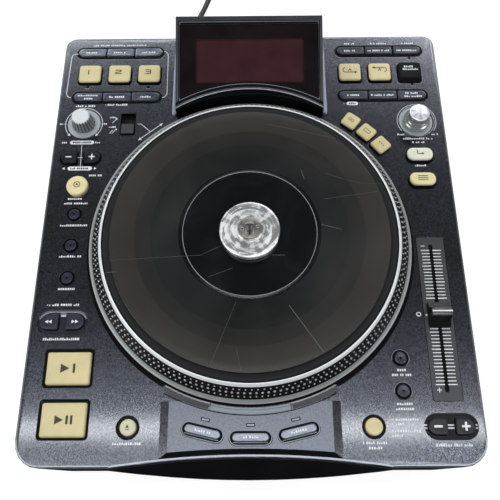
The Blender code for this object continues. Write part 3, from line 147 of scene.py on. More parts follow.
table_finish, table_tree, table_shader = new_material("table_board")
table_shader.inputs["Base Color"].default_value = (0.35, 0.35, 0.35, 1)
table_shader.inputs["Roughness"].default_value = 0.9
table_shader.inputs["Specular IOR Level"].default_value = 0.1
table_shader.inputs["Emission Color"].default_value = (1, 1, 1, 1)
seen_by = add_node(table_tree, "LightPath").outputs
seen_at_all = add_node(table_tree, "Math", {0: seen_by["Is Camera Ray"], 1: seen_by["Is Transmission Ray"]})
paleness = add_node(table_tree, "Math", {0: seen_at_all.outputs[0], 1: 0.80}, operation="MULTIPLY")
table_tree.links.new(paleness.outputs[0], table_shader.inputs["Emission Strength"])
bm = bmesh.new()
bmesh.ops.create_grid(bm, x_segments=2, y_segments=2, size=8)
table_mesh = mesh_of(bm, "table")
table_mesh.materials.append(table_finish)
table = bpy.data.objects.new("table", table_mesh)
table.location.z = -0.3 * mm
scene.collection.objects.link(table)

# Mains lead with its coil, connector and plug.
# A round black rubber lead of 5 mm and 1.5 m, extruded over its wires. The connector with its
# ribbed relief and the two-bladed plug are moulded onto its ends; what isn't used lies coiled.
panel_rear_y = 166.6 * mm
inlet_x = -60.0 * mm
lead_diameter, lead_length = 5.0 * mm, 1.5
seat_gap = 0.3 * mm
coil_turns, coil_points, coil_pitch = 7.25, 24, 5.6 * mm
tail_length, plug_height = 34.0 * mm, 16.0 * mm
blade_length = 16.9 * mm
noise_low, noise_high = 0.3, 0.7
bevel_samples, edge_tint_bends, most_edge_tint = 4, (0.99, 0.86), 0.8
lead_route = [
    (0.0000, 0.0478, 0.0300), (0.0001, 0.0560, 0.0293), (0.0007, 0.0640, 0.0246), (0.0020, 0.0720, 0.0160),
    (0.0040, 0.0800, 0.0078), (0.0066, 0.0880, 0.0035), (0.0096, 0.0960, 0.0025), (0.0131, 0.1050, 0.0025),
    (0.0166, 0.1150, 0.0025), (0.0197, 0.1250, 0.0025), (0.0223, 0.1360, 0.0025), (0.0242, 0.1470, 0.0025),
    (0.0252, 0.1580, 0.0025), (0.0255, 0.1680, 0.0025),
]


def object_place(tree):
    """Where a shaded point lies in its object's own frame."""
    return add_node(tree, "TexCoord").outputs["Object"]


def noise(tree, place, scale, detail=2.0, **more):
    """A soft random pattern; nearly all of it lies between noise_low and noise_high."""
    return add_node(tree, "TexNoise",
                    {"Vector": place, "Scale": scale, "Detail": detail, **more}).outputs[0]


def remap(tree, value, low, high, to_low=0.0, to_high=1.0):
    """A value carried over from one range to another, and held at the ends."""
    ends = {"From Min": low, "From Max": high, "To Min": to_low, "To Max": to_high}
    return add_node(tree, "MapRange", {"Value": value, **ends}).outputs[0]


def arith(tree, operation, *values):
    """The outcome of a sum with one or two values."""
    return add_node(tree, "Math", dict(enumerate(values)), operation=operation).outputs[0]


def vector_arith(tree, operation, *vectors, output=0, **more):
    """The outcome of a sum with one or two vectors."""
    inputs = {**dict(enumerate(vectors)), **more}
    return add_node(tree, "VectorMath", inputs, operation=operation).outputs[output]


def blend(tree, share, first, second):
    """Two colours mixed by a share."""
    return add_node(tree, "Mix", {0: share, 6: first, 7: second}, data_type="RGBA").outputs[2]


def finish(name, colour, roughness, metallic=0.0, drift=0.12, drift_size=25, grain=0.0, grain_size=0.5,
           edge_wear_and_shading=None, edge=0.3, spread=0.05, brushed=(1, 1, 1), sheen=0.5):
    """A surface whose colour and gloss drift softly, with a fine grain and, if asked, edges tinted in a
    second
    colour: wear on some surfaces, and on others, such as the key caps, a painted highlight where the tint
    is lighter and painted shade where it is darker. Its sizes are in millimetres."""
    material, tree, shader = new_material(name)
    shader.inputs["Metallic"].default_value = metallic
    shader.inputs["Specular IOR Level"].default_value = sheen
    place = object_place(tree)
    cloud = noise(tree, place, 1 / (drift_size * mm), 4.0)
    tones = add_node(tree, "ValToRGB", {"Fac": cloud})
    for stop, position, level_of in zip(tones.color_ramp.elements, (noise_low, noise_high),
                                        (1 - drift, 1 + drift)):
        stop.position = position
        stop.color = (*(min(share * level_of, 1) for share in colour), 1)
    paint = tones.outputs["Color"]
    bevelled = add_node(tree, "Bevel", {"Radius": edge * mm}, samples=bevel_samples).outputs["Normal"]
    # Edge tint: wear on some finishes, painted highlight and shade of the bevels on others.
    if edge_wear_and_shading:
        straight = add_node(tree, "NewGeometry").outputs["Normal"]
        bend = vector_arith(tree, "DOT_PRODUCT", bevelled, straight, output="Value")
        paint = blend(tree, remap(tree, bend, *edge_tint_bends, 0.0, most_edge_tint), paint, (*edge_wear_and_shading, 1))
    tree.links.new(paint, shader.inputs["Base Color"])
    gloss = remap(tree, cloud, noise_low, noise_high, max(roughness - spread, 0.02), roughness + spread)
    tree.links.new(gloss, shader.inputs["Roughness"])
    if grain:
        pores = noise(tree, vector_arith(tree, "MULTIPLY", place, brushed), 1 / (grain_size * mm))
        bevelled = add_node(tree, "Bump",
                            {"Height": pores, "Distance": grain * mm, "Normal": bevelled}).outputs[0]
    tree.links.new(bevelled, shader.inputs["Normal"])
    return material


def fit(name, mesh, materials, body, stands_for=(), place=None, turn=0.0):
    """Puts a made piece in its place on the body that carries it."""
    for material in materials:
        mesh.materials.append(material)
    made = bpy.data.objects.new(name, mesh)
    if place is not None:
        made.location = place
    made.rotation_euler = (0, 0, turn)
    scene.collection.objects.link(made)
    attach(made, body)
    if stands_for:
        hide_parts(*stands_for)
    return made


def even_out(mesh, sharp=35):
    """Shades a mesh smooth except at its corners."""
    for stored in ("custom_normal", "sharp_face", "sharp_edge"):
        if stored in mesh.attributes:
            mesh.attributes.remove(mesh.attributes[stored])
    mesh.shade_smooth()
    mesh.set_sharp_from_angle(angle=math.radians(sharp))
    return mesh


def reface(node, materials, sort=None, sharp=35, creased=None):
    """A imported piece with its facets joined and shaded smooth, and its faces sorted by finish."""
    bm = bmesh.new()
    bm.from_mesh(frame["nodes"][node].data)
    bmesh.ops.remove_doubles(bm, verts=bm.verts, dist=0.002 * mm)
    mesh = even_out(mesh_of(bm, node), sharp)
    if creased:
        low_turns = bmesh.new()
        low_turns.from_mesh(mesh)
        for edge in low_turns.edges:
            if len(edge.link_faces) == 2 and edge.calc_face_angle() > math.radians(11) and creased(edge):
                edge.smooth = False
        low_turns.to_mesh(mesh)
        low_turns.free()
    if sort:
        for face in mesh.polygons:
            face.material_index = sort(face.center, face.normal)
    made = fit(node + "_finished", mesh, materials, frame["nodes"][node]["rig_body"], (node,))
    made.modifiers.new("even_shading", "WEIGHTED_NORMAL").keep_sharp = True
    return made


def lead_line(points, parts_each):
    """Points of one smooth line through the route's own points."""
    points = [Vector(point) for point in points]
    ends = [2 * points[0] - points[1]] + points + [2 * points[-1] - points[-2]]
    line = []
    for index in range(1, len(ends) - 2):
        before, start, end, after = ends[index - 1:index + 3]
        for step in range(parts_each):
            t = step / parts_each
            line.append(0.5
                        * (2 * start + (end - before) * t
                           + (2 * before - 5 * start + 4 * end - after) * t ** 2
                           + (3 * start - before - 3 * end + after) * t ** 3))
    return line + [points[-1]]


def coil_line(start, mean_radius):
    """Points of the coil: in along the table, up a layer at the turn, and out again to its tail."""
    spread = coil_pitch * coil_turns / 2
    outer = mean_radius + spread / 2
    centre = start + Vector((outer, 0, 0))
    count = round(coil_points * coil_turns)
    line = [start - Vector((0, lead_diameter, 0))]
    for step in range(count + 1):
        wound = step / count
        radius = outer - spread * (1 - abs(2 * wound - 1))
        climb = min(max(coil_turns * (wound - 0.5) * 2 + 0.5, 0), 1)
        height = (plug_height - lead_diameter) / 2 * climb * climb * (3 - 2 * climb)
        angle = math.pi - 2 * math.pi * coil_turns * wound
        line.append(centre + Vector((radius * math.cos(angle), radius * math.sin(angle), height)))
    end = line[-1]
    return line + [end + Vector((lead_diameter, 0, 0)), end + Vector((tail_length, 0, 0))]


free_lead = lead_line([(inlet_x + x, panel_rear_y + y, z) for x, y, z in lead_route], 2)
free_length = sum((second - first).length for first, second in zip(free_lead, free_lead[1:]))
wound_length = lead_length - free_length - lead_diameter - tail_length
coiled_lead = coil_line(free_lead[-1] + Vector((0, seat_gap + lead_diameter, 0)),
                        wound_length / (2 * math.pi * coil_turns))
lead_curve = bpy.data.curves.new("mains_lead", "CURVE")
lead_curve.dimensions = "3D"
lead_curve.bevel_depth = lead_diameter / 2
lead_curve.bevel_resolution = 4
lead_curve.use_fill_caps = True
lead_spline = lead_curve.splines.new("POLY")
lead_points = free_lead + coiled_lead
lead_spline.points.add(len(lead_points) - 1)
for point, place in zip(lead_spline.points, lead_points):
    point.co = (*place, 1)
rubber = finish("lead_rubber", (0.045, 0.047, 0.050), 0.55, drift=0.2, grain=0.015, grain_size=0.3)
moulded_rubber = finish("moulded_rubber", (0.022, 0.023, 0.025), 0.6, grain=0.02, grain_size=0.25,
                        edge_wear_and_shading=(0.06, 0.06, 0.062))
plated_brass = finish("plated_blades", (0.72, 0.70, 0.62), 0.25, 1.0, grain=0.004, grain_size=0.2)
plug_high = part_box("mains_plug")[1]
connector = reface("inlet_connector", [moulded_rubber], sharp=28)
plug = reface("mains_plug", [moulded_rubber, plated_brass],
              lambda place, normal: int(place.x > plug_high.x - blade_length))
lead = fit("mains_lead", lead_curve, [rubber], "deck", ("power_cord", "cord_coil"))

# Chassis pan with its feet, and the power button.
# The pan is folded sheet steel with a black powder coat, fine as orange peel. Its rubber feet are
# pushed into it. The button is moulded plastic and runs in a hole in the rear wall.
axis = Vector((0, -17.0 * mm, 85.0 * mm))
powder_coat = finish("powder_coat", (0.009, 0.009, 0.010), 0.7, 0.0, drift=0.1, grain=0.02, grain_size=0.35,
                     edge_wear_and_shading=(0.02, 0.02, 0.021), edge=0.5, sheen=0.04)
foot_rubber = finish("foot_rubber", (0.03, 0.03, 0.031), 0.8, drift=0.25, grain=0.03)
button_plastic = finish("button_plastic", (0.028, 0.029, 0.032), 0.4, grain=0.01, edge_wear_and_shading=(0.09, 0.09, 0.09))
reface("base_chassis", [powder_coat, foot_rubber],
       lambda place, normal: int(place.z < 7.9 * mm))
reface("power_button", [button_plastic])

# Rear sockets and the supply behind the rear wall.
# A green resin board carries the nickel phono, small jack and data sockets. A brown board beside
# it carries the taped coil block, the capacitor, the mains inlet and the switch.
board_resin = finish("board_resin", (0.015, 0.10, 0.045), 0.4, drift=0.2, drift_size=6, grain=0.01)
socket_nickel = finish("socket_nickel", (0.62, 0.60, 0.56), 0.22, 1.0, grain=0.004)
paper_board = finish("paper_board", (0.26, 0.16, 0.06), 0.6, drift=0.2, drift_size=5)
coil_tape = finish("coil_tape", (0.55, 0.42, 0.05), 0.45, drift=0.25, drift_size=3)
inlet_plastic = finish("inlet_plastic", (0.025, 0.025, 0.027), 0.4, grain=0.01)
jack_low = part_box("jack_board")[0]
supply_low, supply_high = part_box("power_supply")


def sort_jack(place, normal):
    return int(place.y > jack_low.y + 1.8 * mm)


def sort_supply(place, normal):
    if place.z < supply_low.z + 1.9 * mm:
        return 0
    if place.y < supply_high.y - 40 * mm:
        return 1 if place.x > supply_low.x + 30 * mm else 2
    return 2


reface("jack_board", [board_resin, socket_nickel], sort_jack)
reface("power_supply", [paper_board, coil_tape, inlet_plastic], sort_supply)

# Motor, main board, disc drive and feed roller inside the pan.
# The motor is a zinc-plated steel can on a flange. The drive is a folded steel box, with a rubber
# roller on a pin behind its mouth. The green main board hangs from the panel's posts.
motor_zinc = finish("motor_zinc", (0.48, 0.47, 0.44), 0.35, 1.0, drift=0.15, grain=0.006)
drive_zinc = finish("drive_zinc", (0.42, 0.43, 0.44), 0.38, 1.0, drift=0.15, grain=0.006)
roller_rubber = finish("roller_rubber", (0.02, 0.02, 0.02), 0.85, grain=0.02)
reface("platter_motor", [motor_zinc])
reface("disc_drive", [drive_zinc])
reface("feed_roller", [roller_rubber])
reface("main_board", [board_resin])

# Top panel.
# One moulded shell, sprayed in a charcoal metallic lacquer with fine flake under a satin clear
# coat. The dial discs and cheeks are masked and sprayed in paler greys. The ledge keeps the lacquer
# and takes a lighter grey as painted light; the recesses, the bridge's front slope and the side skirt
# are near black as painted shade, and the bend dish's pale edges are a painted highlight.
column, knob_row, search_row, front_row = 128.7, 100.6, -57.2, -127.0
column_x, knob_row_y, search_y, front_row_y = column * mm, knob_row * mm, search_row * mm, front_row * mm
strip_x, strip_rows, square_row, key_pitch = 105.2, (168.3, 125.2), 146.1, 23.85
pair_shift, pair_row, pad_x, cue_row, play_row = 8.85, 70.4, -120.7, -89.1, -122.2
bridge_top, bridge_key_reach, bridge_lamp_reach, source_reach = 2.6, 133.7, 125.8, 126.8
bridge_angles = (-13.3, 0.0, 13.3)
panel_half_width, panel_front_y, panel_back_y = 151.0 * mm, -151.6 * mm, 183.6 * mm
flake_lacquer, tree, shader = new_material("flake_lacquer")
shader.inputs["Metallic"].default_value = 0.95
shader.inputs["Coat Weight"].default_value = 1.0
shader.inputs["Coat Roughness"].default_value = 0.10
place = object_place(tree)
flakes = add_node(tree, "TexVoronoi", {"Vector": place, "Scale": 1 / (0.62 * mm)}).outputs
flake_tones = add_node(tree, "ValToRGB", {"Fac": flakes["Color"]})
flake_tones.color_ramp.elements[0].position = 0.2
flake_tones.color_ramp.elements[0].color = (0.030, 0.033, 0.040, 1)
flake_tones.color_ramp.elements[1].position = 0.95
flake_tones.color_ramp.elements[1].color = (0.118, 0.125, 0.146, 1)
smudge = noise(tree, place, 22.0, 6.0, Roughness=0.65)
handled = remap(tree, smudge, 0.35, 0.75, 0.0, 0.07)
lacquer_tone = blend(tree, handled, flake_tones.outputs["Color"], (0.13, 0.13, 0.14, 1))
tree.links.new(lacquer_tone, shader.inputs["Base Color"])
lacquer_gloss = remap(tree, smudge, 0.3, 0.7, 0.26, 0.29)
tree.links.new(lacquer_gloss, shader.inputs["Roughness"])
panel_round = add_node(tree, "Bevel", {"Radius": 0.5 * mm}, samples=4).outputs["Normal"]
orange_peel = noise(tree, place, 1 / (0.9 * mm), 1.0)
flake_tilt = add_node(tree, "Bump",
                      {"Height": orange_peel, "Distance": 0.0014 * mm, "Normal": panel_round}).outputs[0]
tree.links.new(flake_tilt, shader.inputs["Normal"])

dial_grey = finish("dial_grey", (0.40, 0.44, 0.47), 0.45, 0.3, drift=0.08, grain=0.006,
                   edge_wear_and_shading=(0.5, 0.52, 0.55))
cheek_grey = finish("cheek_grey", (0.30, 0.34, 0.40), 0.35, 0.5, drift=0.1, grain=0.008)
# Painted light among these finishes: the ledge's lighter grey is painted light; the near black of the
# recesses, the bridge's front slope and the side skirt is painted shade; the bend dish's pale edge tint is
# a painted highlight.
ledge_lit_grey = finish("ledge_lit_grey", (0.22, 0.245, 0.27), 0.38, 0.5, drift=0.1, grain=0.008)
recess_shade_black = finish("recess_shade_black", (0.006, 0.006, 0.006), 0.4, drift=0.2, edge_wear_and_shading=(0.03, 0.028, 0.02),
                      sheen=0.1)
slope_shade_black = finish("slope_shade_black", (0.004, 0.004, 0.005), 0.25, drift=0.2)
dish_navy = finish("dish_navy", (0.012, 0.014, 0.022), 0.3, drift=0.2)
dish_gloss = finish("dish_gloss", (0.004, 0.004, 0.005), 0.3, drift=0.2, edge_wear_and_shading=(0.3, 0.3, 0.3), edge=0.5,
                    sheen=0.12)
underside_and_shade_black = finish("underside_and_shade_black", (0.010, 0.010, 0.011), 0.7, drift=0.15, sheen=0.03)
bridge_satin = finish("bridge_satin", (0.165, 0.176, 0.202), 0.42, 0.9, drift=0.22, drift_size=1.1,
                      grain=0.012, grain_size=0.35, brushed=(1, 0.05, 1))


def inside_edge(place):
    """How far a place lies inside the deck's outline."""
    corner = 17.0 * mm if place.y < 0 else 9.0 * mm
    middle_y = (panel_front_y + panel_back_y) / 2
    over_x = abs(place.x) - (panel_half_width - corner)
    over_y = abs(place.y - middle_y) - ((panel_back_y - panel_front_y) / 2 - corner)
    if over_x > 0 and over_y > 0:
        return corner - math.hypot(over_x, over_y)
    return corner - max(over_x, over_y)


def sort_panel(place, normal):
    """Which finish a face of the panel has, by where it lies."""
    place = place - axis
    if inside_edge(place) < 1.45 * mm and normal.z > -0.2 and place.z < 0.1 * mm:
        outward = normal.x * place.x + normal.y * (place.y - 16 * mm)
        if normal.z > 0.2:
            return 0
        # The side skirt: near black, as painted shade.
        if outward > 0:
            return 8
    if place.z < -3.2 * mm or normal.z < -0.3:
        return 8
    # Recesses and hole walls: black, as painted shade; the dish floors have their own finishes.
    if place.z < -0.2 * mm:
        in_dish = abs(place.x + column_x) < 18.2 * mm and abs(place.y - search_y) < 9.2 * mm
        on_bend = abs(place.x - column_x) < 18.2 * mm and abs(place.y - front_row_y) < 9.2 * mm
        if place.z > -1.3 * mm and in_dish:
            return 6
        if on_bend and place.z > -1.3 * mm:
            return 7
        return 4 if place.z > -2.9 * mm or normal.z > 0.5 else 8
    if place.z > 0.1 * mm:
        for side in (-1, 1):
            if math.hypot(place.x - side * column_x, place.y - knob_row_y) < 13 * mm:
                return 1
        if 56.5 * mm < abs(place.x) < 61.2 * mm and place.y > 100 * mm:
            return 2
        if place.y < -100 * mm:
            reach = math.hypot(place.x, place.y)
            # The ledge: a lighter grey, as painted light.
            if place.z < 1.55 * mm and reach < 119.5 * mm and abs(place.x) < 26.5 * mm:
                return 3
            # The bridge's front slope: black, as painted shade.
            if normal.y < -0.35 and place.z < 2.55 * mm and reach > 125 * mm:
                return 5
            if place.z > 2.55 * mm and abs(place.x) < 59 * mm:
                return 9
    return 0


def on_bridge(edge):
    """Whether an edge belongs to the bridge or its ledge, whose low steps all read as crisp lines."""
    places = [corner.co - axis for corner in edge.verts]
    return all(place.y < -90 * mm and abs(place.x) < 66 * mm and -0.1 * mm < place.z < 2.9 * mm
               for place in places)


reface("top_panel",
       [flake_lacquer, dial_grey, cheek_grey, ledge_lit_grey, recess_shade_black, slope_shade_black, dish_navy, dish_gloss,
        underside_and_shade_black, bridge_satin], sort_panel, 40, on_bridge)

# Printed legends on the panel.
# Everything printed is one thin film of pale ink. The rows of small bars stand where the real
# deck has its words, which are left out; lines, arcs, arrows and ticks are as on the deck.
# Finishes for prints and for painted light: the black also paints shade in gaps, holes and slots, the white
# also paints a highlight in the search dish, the grey paints highlights on the lamps' rims and the pale one
# paints glints on the bridge.
white_ink_and_highlight = finish("white_ink_and_highlight", (0.80, 0.82, 0.84), 0.5, drift=0.15, drift_size=2)
lamp_rim_highlight_grey = finish("lamp_rim_highlight_grey", (0.40, 0.42, 0.45), 0.5, drift=0.2, drift_size=2)
black_ink_and_shade = finish("black_ink_and_shade", (0.004, 0.004, 0.005), 0.5, drift=0.2, sheen=0.06)
bridge_glint_pale = finish("bridge_glint_pale", (0.30, 0.32, 0.35), 0.4, 0.3, drift=0.3, drift_size=5)
letter_widths = random.Random(11)


def stroke(points, width=0.45, closed=False):
    """A printed line through a row of points, with one bar for each straight."""
    bars = []
    for (x0, y0), (x1, y1) in zip(points, points[1:] + points[:1] if closed else points[1:]):
        if math.hypot(x1 - x0, y1 - y0) < 0.001:
            continue
        half = width / 2 / math.hypot(x1 - x0, y1 - y0)
        dx, dy = (x1 - x0) * half, (y1 - y0) * half
        bars.append([(x0 - dx + dy, y0 - dy - dx), (x1 + dx + dy, y1 + dy - dx),
                     (x1 + dx - dy, y1 + dy + dx), (x0 - dx - dy, y0 - dy + dx)])
    return bars


def bow(x, y, radius, start, end, width=0.45, steps=18):
    """A printed arc from one angle to another, in degrees."""
    bars = []
    for step in range(steps):
        first, second = (math.radians(start + (end - start) * (step + part) / steps) for part in (0, 1))
        bars.append([(x + (radius + way * width / 2) * math.cos(angle),
                      y + (radius + way * width / 2) * math.sin(angle))
                     for way, angle in ((-1, first), (1, first), (1, second), (-1, second))])
    return bars


def spot(x, y, radius, steps=16):
    """A printed dot."""
    angles = [2 * math.pi * step / steps for step in range(steps)]
    return [[(x + radius * math.cos(angle), y + radius * math.sin(angle)) for angle in angles]]


def pointer(x, y, size, angle):
    """A printed triangle that points at an angle, in degrees."""
    return [[(x + size * math.cos(math.radians(angle + turn)),
              y + size * math.sin(math.radians(angle + turn))) for turn in (0, 125, 235)]]


def rounded(width, depth, radii, inset=0.0, steps=5, x=0.0, y=0.0):
    """Points of a rectangle with one radius, or four from the front left round, drawn in by the inset."""
    points = []
    corners = ((-1, -1, 180), (1, -1, 270), (1, 1, 0), (-1, 1, 90))
    for (side, end, start), radius in zip(corners, radii if isinstance(radii, tuple) else (radii,) * 4):
        for step in range(steps + 1):
            angle = math.radians(start + 90 * step / steps)
            reach = radius - inset
            points.append((x + side * (width / 2 - radius) + reach * math.cos(angle),
                           y + end * (depth / 2 - radius) + reach * math.sin(angle)))
    return points


def lozenge(left, right, y, depth):
    """A printed bar with half-round ends."""
    return [rounded(right - left, depth, depth / 2 * 0.999, x=(left + right) / 2, y=y)]


def words(left, right, y, depth=1.5):
    """A row of small bars of many widths, where the deck has a word."""
    bars, x = [], left
    while x < right - 0.7:
        width = min(letter_widths.uniform(0.7, 1.35), right - x)
        low = letter_widths.choice((0, 0, 0, 0.35)) * depth
        bars.append([(x, y - depth / 2), (x + width, y - depth / 2), (x + width, y + depth / 2 - low),
                     (x, y + depth / 2 - low)])
        x += width + (1.5 if letter_widths.random() < 0.12 else 0.45)
    return bars


def rows(*spans):
    """Rows of bars for some words, each from its left to its right end, at its place and depth."""
    return [bar for span in spans for bar in words(*span)]


def moved(shapes, x, y):
    """Printed shapes, moved."""
    return [[(px + x, py + y) for px, py in shape] for shape in shapes]


def swung(shape, x, y, turn):
    """The points of a shape turned about its middle and carried to a place."""
    return [(x + px * math.cos(turn) - py * math.sin(turn), y + px * math.sin(turn) + py * math.cos(turn))
            for px, py in shape]


def print_on(name, shapes, height, ink, body="deck", place=axis, turn=0.0, film=0.03):
    """Prints flat shapes, in millimetres, as a thin film at a height over a place."""
    bm = bmesh.new()
    for index, shape in enumerate(shapes):
        top = height + film + index * 0.0001
        lower = [bm.verts.new((x * mm, y * mm, height * mm)) for x, y in shape]
        upper = [bm.verts.new((x * mm, y * mm, top * mm)) for x, y in shape]
        bm.faces.new(upper)
        bm.faces.new(lower[::-1])
        for corner in range(len(shape)):
            after = (corner + 1) % len(shape)
            bm.faces.new((lower[corner], lower[after], upper[after], upper[corner]))
    return fit(name, mesh_of(bm, name), [ink], body, (), place, turn)


loop_marks = (stroke([(-140.3, 167.9), (-143.2, 167.7), (-144.6, 166.4), (-145.0, 163.5), (-145.7, 129.6),
                      (-144.8, 127.0), (-143.6, 125.9), (-142.0, 125.5)], 0.55)
              + stroke([(-69.5, 169.9), (-67.9, 169.2), (-66.6, 167.4), (-66.2, 164.5), (-65.6, 128.9),
                        (-66.4, 126.7), (-67.7, 125.5), (-69.0, 125.1)], 0.55))
rear_words = rows((-128, -84.3, 176.2, 1.3), (77.7, 85.9, 176.1, 1.4), (99.1, 112.2, 176.1, 1.4),
                  (124.5, 135.2, 176.1, 1.4))
effects_marks = (bow(-129.0, 101.0, 14.4, -38, 218, 0.5, 30) + words(-147.8, -144.2, 101.1, 1.3)
                 + stroke([(-144.2, 101.1), (-142.8, 101.1)]) + stroke([(-115.3, 101.0), (-113.6, 101.0)])
                 + words(-113.4, -110.3, 100.9, 1.3) + pointer(-139.6, 91.2, 1.5, 312)
                 + pointer(-118.4, 91.2, 1.5, 228) + words(-136.9, -121.9, 117.5, 1.7))
preset_words = spot(-113.6, 118.4, 0.4) + words(-112.0, -95.9, 118.5, 1.7)
direction_marks = (words(-109.2, -103.7, 106.8, 1.4) + stroke([(-106.8, 101.8), (-104.2, 105.0)])
                   + pointer(-103.8, 105.5, 1.0, 52) + words(-109.3, -103.0, 98.1, 1.4)
                   + stroke([(-108.4, 92.3), (-106.2, 95.4)]) + stroke([(-106.6, 92.4), (-104.2, 95.4)])
                   + pointer(-103.5, 96.0, 1.0, 45)
                   + stroke([(-86.9, 100.6), (-84.5, 100.6), (-77.1, 93.8)])
                   + stroke([(-84.1, 87.5), (-69.3, 99.7)], 0.5) + pointer(-68.8, 100.1, 1.5, 40)
                   + pointer(-84.6, 87.0, 1.5, 220))
beat_marks = (words(-144.4, -139.8, 84.4, 1.4) + lozenge(-138.2, -119.7, 84.4, 3.3)
              + words(-118.9, -115.1, 84.4, 1.4) + stroke([(-128.9, 82.4), (-128.2, 64.0)], 0.35)
              + stroke([(-130.7, 71.2), (-126.9, 71.2)], 0.35) + lozenge(-137.7, -119.2, 61.8, 3.3)
              + pointer(-140.6, 61.8, 1.3, 180) + pointer(-117.0, 61.8, 1.3, 0)
              + words(-120.9, -111.1, 55.8, 1.5))
column_words = (rows((-134.7, -122.8, 36.3, 1.4), (-137.2, -119.5, 32.6, 1.4), (-138.2, -118.5, 14.9, 1.5),
                     (-136.3, -120.5, -9.2, 1.5), (-134.3, -122.4, -33.5, 1.5)) + spot(-140.3, -45.0, 0.4)
                + rows((-139.2, -118.4, -45.0, 1.6), (-140.5, -116.0, -69.0, 1.7)))
source_marks = lozenge(76.3, 85.3, 118.1, 3.2) + spot(74.3, 118.1, 0.35)
parameter_marks = (bow(129.6, 101.5, 15.0, -35, 215, 0.4, 30) + bow(129.6, 101.5, 13.6, 0, 360, 0.25, 36)
                   + rows((113.6, 119.0, 89.6, 1.5), (139.8, 145.2, 89.6, 1.5), (117.7, 140.6, 85.8, 1.6),
                          (124.2, 134.2, 82.6, 1.5), (124.6, 133.7, 62.4, 1.5)))
adjust_words = rows((97.1, 103.7, -90.9, 1.5), (93.5, 106.6, -94.1, 1.5), (95.1, 105.4, -112.8, 1.5),
                    (94.1, 105.8, -116.0, 1.5))
mode_marks = (stroke([(90.3, -122.8), (88.3, -123.5), (87.8, -129.7), (89.6, -130.5)], 0.35)
              + stroke([(86.9, -126.7), (88.0, -126.7)], 0.35)
              + rows((91.0, 109.0, -122.6, 1.3), (90.7, 98.4, -125.3, 1.2), (90.4, 108.8, -129.7, 1.3),
                     (90.1, 97.1, -132.6, 1.2)))
front_words = rows((-88.3, -69.8, -136.9, 1.6), (71.3, 86.6, -136.9, 1.6), (74.9, 83.7, -140.0, 1.6),
                   (117.4, 140.8, -138.3, 1.8))
zero_mark = rounded(2.7, 2.5, 1.2, x=115.3, y=-52.9)
pill_words = rows((-136.0, -121.8, 84.4, 1.5), (-135.6, -121.4, 61.8, 1.5), (78.2, 83.4, 118.1, 1.5))
for name, shapes, height, ink in (
    ("loop_marks", loop_marks, 0, white_ink_and_highlight),
    ("rear_words", rear_words, 0, white_ink_and_highlight),
    ("effects_marks", effects_marks + preset_words, 0, white_ink_and_highlight),
    ("direction_marks", direction_marks, 0, white_ink_and_highlight),
    ("beat_marks", beat_marks, 0, white_ink_and_highlight),
    ("pill_words", pill_words, 0.03, black_ink_and_shade),
    ("column_words", column_words, 0, white_ink_and_highlight),
    ("parameter_marks", source_marks + parameter_marks, 0, white_ink_and_highlight),
    ("adjust_words", adjust_words + mode_marks, 0, white_ink_and_highlight),
    ("front_words", front_words, 0, white_ink_and_highlight),
    ("zero_mark", stroke(zero_mark, 0.7, True), 0, white_ink_and_highlight),
):
    print_on(name, shapes, height, ink)

# Small lamps in the panel, and painted shade and highlights at the key holes.
# Each lamp is a smoked clear pin, flush in its hole, with a pale arc below it that is a painted highlight
# on its rim. The holes' edges turn down into shadow, which is painted as a fine black line round each
# key; pale lines along some holes' lower lips and round two round keys are painted highlights.
lamp_smoke = finish("lamp_smoke", (0.003, 0.003, 0.004), 0.15, drift=0.3, drift_size=1, sheen=0.15)
pins, lamp_rim_highlights = [], []
for x, y in ((-129.5, 135.0), (-81.0, 134.6), (129.6, 160.8), (129.5, 135.5)):
    pins += spot(x, y + 0.4, 1.25)
    lamp_rim_highlights += bow(x, y + 0.4, 1.75, 215, 325, 0.35, 8)
print_on("panel_lamps", pins, 0, lamp_smoke, "deck")
print_on("panel_lamp_rim_highlights", lamp_rim_highlights, 0, lamp_rim_highlight_grey)
hole_edge_shade = []
for x, y in [(side * strip_x, y) for side in (-1, 1) for y in strip_rows]:
    hole_edge_shade += stroke(rounded(71.1, 11.0, 5.5, x=x, y=y), 0.75, True)
for side, x in ((0, -column - pair_shift), (1, -column + pair_shift)):
    radii = (2.4, 6.2, 6.2, 2.4) if side else (6.2, 2.4, 2.4, 6.2)
    hole_edge_shade += stroke(rounded(14.0, 12.4, radii, x=x, y=pair_row), 0.7, True)
for x, y in ((pad_x, cue_row), (pad_x, play_row)):
    hole_edge_shade += stroke(rounded(31.9, 24.5, 2.2, x=x - 0.3, y=y + 0.35), 1.5, True)
for index in range(3):
    for x in (-128.1 + key_pitch * index, 80.4 + key_pitch * index):
        hole_edge_shade += stroke(rounded(19.3, 18.1, 3.0, x=x, y=square_row), 0.4, True)
hole_glints = []
hole_sheen = finish("hole_sheen", (0.20, 0.21, 0.23), 0.4, 0.3, drift=0.25, drift_size=6)
for x in (-strip_x, strip_x):
    hole_glints += stroke(rounded(72.5, 12.4, 6.19, x=x, y=strip_rows[0])[2:11], 0.35)
for x in (-128.1, -104.25, -80.4, 80.4, 104.25):
    hole_glints += stroke(rounded(20.3, 19.1, 3.3, x=x, y=square_row)[:7], 0.3)
hole_glints += stroke(rounded(20.3, 19.1, 3.3, x=128.1, y=square_row)[2:14], 0.35)
for x, y in ((100.0, -83.0), (100.0, -104.5)):
    hole_glints += bow(x, y, 5.75, -50, 190, 0.4)
print_on("hole_edge_shade", hole_edge_shade, 0, black_ink_and_shade, "deck", film=0.02)
print_on("hole_glints", hole_glints, 0, hole_sheen, "deck", film=0.02)
